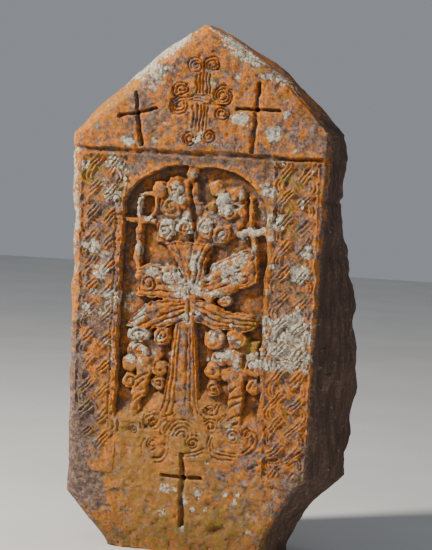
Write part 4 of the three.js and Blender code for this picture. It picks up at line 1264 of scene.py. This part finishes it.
class Tree:
    """A small helper that adds nodes to a tree and joins them."""

    def __init__(self, tree):
        self.tree = tree

    def feed(self, socket, value):
        """Join another node's socket to this one, or set its own value."""
        if isinstance(value, bpy.types.NodeSocket):
            self.tree.links.new(value, socket)
        elif socket.type == "RGBA" and len(value) == 3:
            socket.default_value = (*value, 1.0)
        else:
            socket.default_value = value

    def add(self, kind, inputs=None, **settings):
        node = self.tree.nodes.new(kind)
        for key, value in settings.items():
            setattr(node, key, value)
        for key, value in (inputs or {}).items():
            self.feed(node.inputs[key], value)
        return node

    def maths(self, operation, first, second, clamp=False):
        return self.add("ShaderNodeMath", operation=operation, use_clamp=clamp,
                        inputs={0: first, 1: second}).outputs[0]

    def plus(self, first, second, clamp=False):
        return self.maths("ADD", first, second, clamp)

    def minus(self, first, second, clamp=False):
        return self.maths("SUBTRACT", first, second, clamp)

    def times(self, first, second, clamp=False):
        return self.maths("MULTIPLY", first, second, clamp)

    def vectors(self, operation, first, second):
        """Two vectors joined, or one scaled by a number."""
        key = "Scale" if operation == "SCALE" else 1
        return self.add("ShaderNodeVectorMath", operation=operation,
                        inputs={0: first, key: second}).outputs[0]

    def smoothstep(self, value, low, high):
        return self.add("ShaderNodeMapRange", interpolation_type="SMOOTHSTEP",
                        inputs={"Value": value, "From Min": low, "From Max": high}).outputs[0]

    def noise(self, vector, scale, detail, roughness, distortion=0.0):
        return self.add("ShaderNodeTexNoise", inputs={
            "Vector": vector, "Scale": scale, "Detail": detail, "Roughness": roughness,
            "Distortion": distortion}).outputs[0]

    def lumps(self, vector, scale, seed):
        """The noise that the weathered surface and its colours share."""
        return self.add("ShaderNodeTexNoise", noise_dimensions="4D", inputs={
            "Vector": vector, "W": seed, "Scale": scale, "Detail": 3.0, "Roughness": 0.6}).outputs[0]

    def mix(self, share, first, second, blend="MIX"):
        node = self.add("ShaderNodeMix", data_type="RGBA", blend_type=blend,
                        inputs={0: share, 6: first, 7: second})
        return node.outputs[2]

    def shades(self, share, colour, dark, light):
        """From a darker to a lighter shade of one colour."""
        return self.mix(share, scaled_colour(colour, dark), scaled_colour(colour, light))

    def bump(self, height, strength, distance):
        return self.add("ShaderNodeBump", inputs={
            "Strength": strength, "Distance": distance, "Height": height}).outputs[0]

    def painted(self, name):
        """A value that was painted on the points of the stone."""
        return self.add("ShaderNodeAttribute", attribute_name=name).outputs["Fac"]

    def group(self, tree, **inputs):
        return self.add("ShaderNodeGroup", node_tree=tree, inputs=inputs).outputs


def scaled_colour(colour, factor):
    return tuple(min(1.0, channel * factor) for channel in colour)


def new_tree(name, kind, inputs, outputs):
    """An empty node group with its sockets, a helper for it and the outputs of its input node."""
    tree = bpy.data.node_groups.new(name, kind)
    for label, socket, value in inputs:
        made = tree.interface.new_socket(name=label, in_out="INPUT", socket_type="NodeSocket" + socket)
        if value is not None:
            made.default_value = value
    for label, socket in outputs:
        tree.interface.new_socket(name=label, in_out="OUTPUT", socket_type="NodeSocket" + socket)
    t = Tree(tree)
    return tree, t, t.add("NodeGroupInput").outputs


# Geometry Nodes

def weathering_tree(material):
    """Pits and grain: every point moves into the stone, and none on the underside."""
    tree, t, source = new_tree("Weathered stone", "GeometryNodeTree", [
        ("Geometry", "Geometry", None), ("Depth", "Float", 0.002), ("Grain size", "Float", 0.006),
        ("Pit size", "Float", 0.02), ("Seed", "Float", 4.0)], [("Geometry", "Geometry")])
    position = t.add("GeometryNodeInputPosition").outputs[0]
    normal = t.add("GeometryNodeInputNormal").outputs[0]
    grain = t.lumps(position, t.maths("DIVIDE", 1.0, source["Grain size"]), source["Seed"])
    pits = t.add("ShaderNodeTexVoronoi", voronoi_dimensions="4D", inputs={
        "Vector": position, "W": source["Seed"], "Scale": t.maths("DIVIDE", 1.0, source["Pit size"]),
        "Randomness": 1.0})
    pit = t.minus(1.0, t.smoothstep(pits.outputs["Distance"], 0.05, 0.45))
    both = t.plus(t.times(grain, 0.6), t.times(pit, 0.4))
    height = t.add("ShaderNodeSeparateXYZ", inputs={0: position}).outputs[2]
    above = t.smoothstep(height, 0.001, 0.008)
    amount = t.times(t.times(both, source["Depth"]), above)
    offset = t.vectors("SCALE", normal, t.times(amount, -1.0))
    moved = t.add("GeometryNodeSetPosition", inputs={"Geometry": source["Geometry"], "Offset": offset})
    finish_tree(t, moved.outputs[0], material)
    return tree


def finish_tree(t, geometry, material):
    """Make the instances real, coat them and hand them to the output."""
    real = t.add("GeometryNodeRealizeInstances", inputs={"Geometry": geometry})
    coated = t.add("GeometryNodeSetMaterial", inputs={"Geometry": real.outputs[0], "Material": material})
    t.add("NodeGroupOutput", inputs={"Geometry": coated.outputs[0]})


def crust_tree(material):
    """Thick lichen: overlapping scales set on the stone where the pale growth is strong."""
    tree, t, source = new_tree("Lichen crust", "GeometryNodeTree", [
        ("Geometry", "Geometry", None), ("Scale width", "Float", 0.011), ("Thickness", "Float", 0.0022),
        ("Density", "Float", 9000.0), ("Seed", "Int", 7)], [("Geometry", "Geometry")])
    growth = t.add("GeometryNodeInputNamedAttribute", data_type="FLOAT", inputs={"Name": "pale"}).outputs[0]
    density = t.times(t.smoothstep(growth, 0.5, 1.15), source["Density"])
    spots = t.add("GeometryNodeDistributePointsOnFaces", distribute_method="RANDOM", inputs={
        "Mesh": source["Geometry"], "Density": density, "Seed": source["Seed"]}).outputs
    scale = t.add("GeometryNodeMeshUVSphere", inputs={"Radius": 0.5, "Segments": 8, "Rings": 4})
    position = t.add("GeometryNodeInputPosition").outputs[0]
    ragged = t.minus(t.noise(position, 3.2, 1.0, 0.5), 0.5)
    push = t.vectors("SCALE", position, t.times(ragged, 1.3))
    lumpy = t.add("GeometryNodeSetPosition", inputs={"Geometry": scale.outputs[0], "Offset": push})
    size = t.add("FunctionNodeRandomValue", data_type="FLOAT", inputs={
        2: 0.5, 3: 1.35, "Seed": source["Seed"]}).outputs[1]
    width = t.times(size, source["Scale width"])
    spread = t.add("ShaderNodeCombineXYZ", inputs={0: width, 1: width, 2: source["Thickness"]})
    angle = t.add("FunctionNodeRandomValue", data_type="FLOAT", inputs={2: 0.0, 3: 6.283, "Seed": 3})
    spin = t.add("FunctionNodeAxisAngleToRotation", inputs={
        "Axis": (0.0, 0.0, 1.0), "Angle": angle.outputs[1]})
    turned = t.add("FunctionNodeRotateRotation", rotation_space="LOCAL", inputs={
        "Rotation": spots["Rotation"], "Rotate By": spin.outputs[0]})
    placed = t.add("GeometryNodeInstanceOnPoints", inputs={
        "Points": spots["Points"], "Instance": lumpy.outputs[0],
        "Rotation": turned.outputs[0], "Scale": spread.outputs[0]})
    finish_tree(t, placed.outputs[0], material)
    return tree


def grow(piece, tree, values, name):
    """Run a Geometry Nodes tree on a piece and give back the result as a plain mesh."""
    modifier = piece.modifiers.new(tree.name, "NODES")
    modifier.node_group = tree
    for item in tree.interface.items_tree:
        if item.item_type == "SOCKET" and item.in_out == "INPUT" and item.name in values:
            modifier[item.identifier] = values[item.name]
    mesh = baked(piece, name)
    piece.modifiers.remove(modifier)
    return mesh


# Materials

def mottle_group():
    """Patches of growth with ragged rims: a mask from noise, steered by how much should be covered."""
    tree, t, source = new_tree("Ragged growth", "ShaderNodeTree", [
        ("Vector", "Vector", None), ("Scale", "Float", 60.0), ("Cover", "Float", 0.5),
        ("Softness", "Float", 0.06), ("Raggedness", "Float", 0.65)], [("Mask", "Float")])
    noise = t.noise(source["Vector"], source["Scale"], 7.0, source["Raggedness"], 0.35)
    threshold = t.minus(1.0, source["Cover"])
    mask = t.smoothstep(t.smoothstep(noise, 0.28, 0.72), t.minus(threshold, source["Softness"]),
                        t.plus(threshold, source["Softness"]))
    t.add("NodeGroupOutput", inputs={"Mask": mask})
    return tree


def grain_group():
    """Grain of volcanic stone: light and dark crystals, and a height for the bump."""
    tree, t, source = new_tree("Stone grain", "ShaderNodeTree", [
        ("Vector", "Vector", None), ("Size", "Float", 1.0)], [("Tone", "Float"), ("Height", "Float")])
    broad = t.noise(source["Vector"], t.times(source["Size"], 90.0), 5.0, 0.65)
    fine = t.noise(source["Vector"], t.times(source["Size"], 420.0), 3.0, 0.6)
    pores = t.add("ShaderNodeTexVoronoi", inputs={
        "Vector": source["Vector"], "Scale": t.times(source["Size"], 150.0)})
    tone = t.plus(t.times(broad, 0.6), t.times(fine, 0.4))
    pore = t.smoothstep(pores.outputs["Distance"], 0.08, 0.4)
    height = t.plus(t.times(tone, 0.7), t.times(pore, 0.3))
    t.add("NodeGroupOutput", inputs={"Tone": tone, "Height": height})
    return tree


def blank_material(name):
    """A material with its shader joined, a helper for its tree, and the place on the piece."""
    material = bpy.data.materials.new(name)
    material.use_nodes = True
    material.node_tree.nodes.clear()
    t = Tree(material.node_tree)
    shader = t.add("ShaderNodeBsdfPrincipled")
    t.add("ShaderNodeOutputMaterial", inputs={"Surface": shader.outputs[0]})
    return material, t, shader.inputs, t.add("ShaderNodeTexCoord").outputs["Object"]


def growth_mask(t, mottle, place_at, scale, cover, softness, raggedness):
    return t.group(mottle, Vector=place_at, Scale=scale, Cover=cover, Softness=softness,
                   Raggedness=raggedness)["Mask"]


def steered(t, cover, shares):
    """How much a growth covers: more or less of it where the painted values say so."""
    for name, share in shares.items():
        cover = t.plus(cover, t.times(t.painted(name), share))
    return cover


def stone_material(colours, mottle, grain):
    """Bare stone under thin growths, with painted shade and some grime in all cuts and hollows, and a
    painted highlight on the crests.
    """
    material, t, shader, place_at = blank_material("Lichened stone")
    grained = t.group(grain, Vector=place_at)
    tone = grained["Tone"]
    patchy = t.noise(place_at, 38.0, 5.0, 0.6)
    # 1 in the hollows between the lumps of the weathered surface
    between = t.smoothstep(t.lumps(place_at, 1 / GRAIN_SIZE, GRAIN_SEED), 0.47, 0.64)

    # bare stone, pinkish where worn and dark brown where rough
    light_stone = t.shades(t.smoothstep(patchy, 0.36, 0.64), colours.stone, 0.62, 1.45)
    drawn = t.vectors("MULTIPLY", place_at, (60.0, 60.0, 9.0))
    streaks = t.smoothstep(t.noise(drawn, 1.0, 5.0, 0.65), 0.36, 0.66)
    rough_stone = t.shades(streaks, colours.stone_dark, 0.45, 1.7)
    stone = t.mix(t.painted("rough_side"), light_stone, rough_stone)
    stone = t.mix(t.smoothstep(tone, 0.60, 0.40), stone, scaled_colour(colours.stone, 0.36))

    # orange lichen over most of the front, thinner in cut lines and where the stone is bare
    cover = steered(t, 0.615, {"bare": -0.38, "rough_side": -0.34, "lines": -0.22, "ochre": 0.20,
                               "crest": 0.20})
    cover = t.minus(cover, t.times(between, 0.22))
    orange_mask = growth_mask(t, mottle, place_at, 27.0, cover, 0.16, 0.74)
    lively = t.smoothstep(t.noise(place_at, 70.0, 6.0, 0.75), 0.36, 0.62)
    orange = t.shades(lively, colours.orange, 0.54, 1.12)
    ochre = t.shades(lively, colours.ochre, 0.70, 0.97)
    wide = t.noise(place_at, 9.0, 3.0, 0.6)
    ochre_share = t.times(t.painted("ochre"), t.smoothstep(wide, 0.25, 0.6), clamp=True)
    orange = t.mix(ochre_share, orange, ochre)
    colour = t.mix(t.times(orange_mask, 0.9), stone, orange)

    # small yellow-green growths
    moss_cover = steered(t, 0.16, {"moss": 0.42, "rough_side": -0.2})
    moss_at = t.vectors("ADD", place_at, (3.1, 0.7, 5.3))
    moss_mask = growth_mask(t, mottle, moss_at, 48.0, moss_cover, 0.1, 0.6)
    colour = t.mix(t.times(moss_mask, 0.75), colour, colours.moss)

    # small grey specks everywhere, and the pale crusts
    pale_at = t.vectors("ADD", place_at, (9.2, 2.4, 1.3))
    speck_cover = steered(t, 0.22, {"rough_side": -0.16})
    specks = growth_mask(t, mottle, pale_at, 58.0, speck_cover, 0.14, 0.72)
    colour = t.mix(t.times(specks, 0.5), colour, SPECK_GREY)
    pale_cover = steered(t, 0.05, {"pale": 0.56, "lines": -0.25})
    pale_mask = growth_mask(t, mottle, pale_at, 36.0, pale_cover, 0.09, 0.72)
    pale = t.shades(t.smoothstep(t.noise(place_at, 110.0, 5.0, 0.7), 0.34, 0.64), colours.pale, 0.48, 1.14)
    pale_amount = t.times(pale_mask, 0.9)
    colour = t.mix(pale_amount, colour, pale)

    # crests get a painted highlight; cut lines and hollows hold painted shade and some dirt, the hollows
    # between the lumps painted shade; the pores are dark
    colour = t.mix(t.times(t.painted("crest"), 0.28), colour, CREST_HIGHLIGHT, "SOFT_LIGHT")
    lines = t.painted("lines")
    # the deepest cuts get extra painted shade
    deepest = t.times(t.smoothstep(lines, 0.7, 1.0), 0.22)
    colour = t.mix(t.plus(t.times(lines, 0.52), deepest, clamp=True), colour, LINE_SHADE_AND_DIRT)
    colour = t.mix(t.times(t.painted("hollow_shade_and_dirt"), 0.80, clamp=True), colour, HOLLOW_SHADE_AND_DIRT)
    calm = t.minus(1.0, t.times(t.painted("ochre"), 0.6), clamp=True)
    # painted shade in the hollows between the lumps, weaker on the ochre
    colour = t.mix(t.times(t.times(between, 0.34), calm), colour, LUMP_SHADE)
    colour = t.mix(t.times(t.smoothstep(tone, 0.43, 0.30), 0.5), colour, PORE_DARK)
    t.feed(shader["Base Color"], colour)

    t.feed(shader["Roughness"], t.plus(0.84, t.times(tone, 0.14)))
    shader["Specular IOR Level"].default_value = 0.22
    relief = t.plus(grained["Height"], t.times(pale_amount, 0.5))
    relief = t.plus(relief, t.times(orange_mask, 0.16))
    relief = t.plus(relief, t.times(lively, 0.35))
    t.feed(shader["Normal"], t.bump(relief, 0.72, 0.0036))
    return material


def crust_material(colours, grain):
    """The thick pale scales, with the grain of the stone made finer."""
    material, t, shader, place_at = blank_material("Pale lichen crust")
    grained = t.group(grain, Vector=place_at, Size=1.4)
    share = t.smoothstep(t.noise(place_at, 60.0, 4.0, 0.6), 0.34, 0.66)
    colour = t.shades(share, colours.pale, 0.66, 1.12)
    colour = t.mix(t.smoothstep(grained["Tone"], 0.5, 0.34), colour, scaled_colour(colours.stone, 0.8))
    t.feed(shader["Base Color"], colour)
    shader["Roughness"].default_value = 0.93
    shader["Specular IOR Level"].default_value = 0.15
    t.feed(shader["Normal"], t.bump(grained["Height"], 0.7, 0.0015))
    return material


def floor_material(colours):
    """The plain floor, clouded a little."""
    material, t, shader, place_at = blank_material("Plain floor")
    cloud = t.smoothstep(t.noise(place_at, 1.3, 3.0, 0.5), 0.3, 0.7)
    t.feed(shader["Base Color"], t.shades(cloud, colours.floor, 0.96, 1.04))
    shader["Roughness"].default_value = 0.9
    return material


# Operators

class KHACHKAR_OT_stone(bpy.types.Operator):
    """Carve and weather the stone"""
    bl_idname = "khachkar.stone"
    bl_label = "Stone"

    def execute(self, context):
        sizes = context.scene.khachkar_sizes
        colours = context.scene.khachkar_colours
        ring, front = stone_sections(sizes)
        piece = place("stone_carved", closed_mesh("stone_carved", ring))
        thin = piece.modifiers.new("Thin", "DECIMATE")
        faces = sum(len(p.vertices) - 2 for p in piece.data.polygons)
        thin.ratio = STONE_FACES / faces
        thin.use_collapse_triangulate = True
        thinned = baked(piece, "stone_thinned")
        piece.modifiers.remove(thin)
        piece.data = thinned
        material = stone_material(colours, mottle_group(), grain_group())
        values = {"Depth": sizes.pitting, "Grain size": GRAIN_SIZE, "Pit size": PIT_SIZE, "Seed": GRAIN_SEED}
        mesh = grow(piece, weathering_tree(material), values, "stone_weathered")
        points = kept_in_box(mesh)
        points[points[:, 2] < FLAT_FOOT, 2] = 0.0
        mesh.vertices.foreach_set("co", points.ravel())
        paint(mesh, front)
        piece.data = mesh
        if not mesh.polygons:
            raise RuntimeError("the stone has no faces")
        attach(piece, "root")
        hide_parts(NODE)
        return {"FINISHED"}


class KHACHKAR_OT_lichen(bpy.types.Operator):
    """Grow the thick pale crusts on the stone"""
    bl_idname = "khachkar.lichen"
    bl_label = "Lichen crusts"

    def execute(self, context):
        sizes = context.scene.khachkar_sizes
        colours = context.scene.khachkar_colours
        stone = bpy.data.objects.get("stone_carved")
        if stone is None:
            raise RuntimeError("the stone has to be carved first")
        material = crust_material(colours, bpy.data.node_groups["Stone grain"])
        ground = place("lichen_crust", stone.data.copy())
        values = {"Scale width": sizes.crust, "Thickness": CRUST_THICKNESS, "Density": CRUST_DENSITY,
                  "Seed": CRUST_SEED}
        mesh = grow(ground, crust_tree(material), values, "lichen_crust")
        mesh.vertices.foreach_set("co", kept_in_box(mesh).ravel())
        if not mesh.polygons:
            raise RuntimeError("no lichen grew")
        ground.data = mesh
        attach(ground, "root")
        return {"FINISHED"}


class KHACHKAR_OT_stage(bpy.types.Operator):
    """Lay the plain floor and set the lights and the camera"""
    bl_idname = "khachkar.stage"
    bl_label = "Stage"

    def execute(self, context):
        colours = context.scene.khachkar_colours
        mesh = bpy.data.meshes.new("plain_floor")
        reach = FLOOR_REACH
        corners = [(-reach, -reach, 0), (reach, -reach, 0), (reach, reach, 0), (-reach, reach, 0)]
        mesh.from_pydata(corners, [], [(0, 1, 2, 3)])
        floor = place("plain_floor", mesh)
        floor.data.materials.append(floor_material(colours))
        set_lights(context.scene)
        set_camera(context.scene)
        return {"FINISHED"}


def set_lights(scene):
    """A soft sky, a strong lamp from the upper left and a weak one from the right."""
    world = bpy.data.worlds.new("Soft room")
    world.use_nodes = True
    background = world.node_tree.nodes["Background"]
    background.inputs["Color"].default_value = SKY
    background.inputs["Strength"].default_value = SKY_STRENGTH
    scene.world = world
    for name, spot, size, power, colour in LAMPS:
        light = bpy.data.lights.new(name, "AREA")
        light.shape = "DISK"
        light.size = size
        light.energy = power
        light.color = colour
        lamp = bpy.data.objects.new(name, light)
        scene.collection.objects.link(lamp)
        lamp.location = spot
        lamp.rotation_euler = (Vector(LAMP_AIM) - Vector(spot)).to_track_quat("-Z", "Y").to_euler()


def set_camera(scene):
    """The photograph's viewpoint: a little right of the front and above its middle, slightly rolled."""
    azimuth, elevation = math.radians(CAMERA_AZIMUTH), math.radians(CAMERA_ELEVATION)
    back = Vector((math.sin(azimuth) * math.cos(elevation), -math.cos(azimuth) * math.cos(elevation),
                   math.sin(elevation)))
    right = (-back).cross(Vector((0, 0, 1))).normalized()
    up = right.cross(-back)
    level = Matrix((right, up, back)).transposed().to_4x4()
    turned = level @ Matrix.Rotation(math.radians(CAMERA_ROLL), 4, "Z")
    data = bpy.data.cameras.new("View")
    data.lens = CAMERA_LENS
    data.sensor_width = 36.0
    data.clip_end = 200.0
    camera = bpy.data.objects.new("View", data)
    camera.matrix_world = Matrix.Translation(Vector(CAMERA_AIM) + back * CAMERA_DISTANCE) @ turned
    scene.collection.objects.link(camera)
    scene.camera = camera


class KHACHKAR_PT_panel(bpy.types.Panel):
    """Lists the steps and their sizes and colours"""
    bl_idname = "KHACHKAR_PT_panel"
    bl_label = "Khachkar"
    bl_space_type = "VIEW_3D"
    bl_region_type = "UI"
    bl_category = "Khachkar"

    def draw(self, context):
        layout = self.layout
        for step in STEPS:
            layout.operator(step.bl_idname)
        for group in (context.scene.khachkar_sizes, context.scene.khachkar_colours):
            box = layout.box()
            for name in group.__annotations__:
                box.prop(group, name)


STEPS = (KHACHKAR_OT_stone, KHACHKAR_OT_lichen, KHACHKAR_OT_stage)
CLASSES = (KhachkarSizes, KhachkarColours, *STEPS, KHACHKAR_PT_panel)


def register():
    for cls in CLASSES:
        bpy.utils.register_class(cls)
    bpy.types.Scene.khachkar_sizes = bpy.props.PointerProperty(type=KhachkarSizes)
    bpy.types.Scene.khachkar_colours = bpy.props.PointerProperty(type=KhachkarColours)


def unregister():
    del bpy.types.Scene.khachkar_colours
    del bpy.types.Scene.khachkar_sizes
    for cls in reversed(CLASSES):
        bpy.utils.unregister_class(cls)


def main():
    register()
    bpy.ops.khachkar.stone()
    bpy.ops.khachkar.lichen()
    bpy.ops.khachkar.stage()


if __name__ == "__main__":
    main()
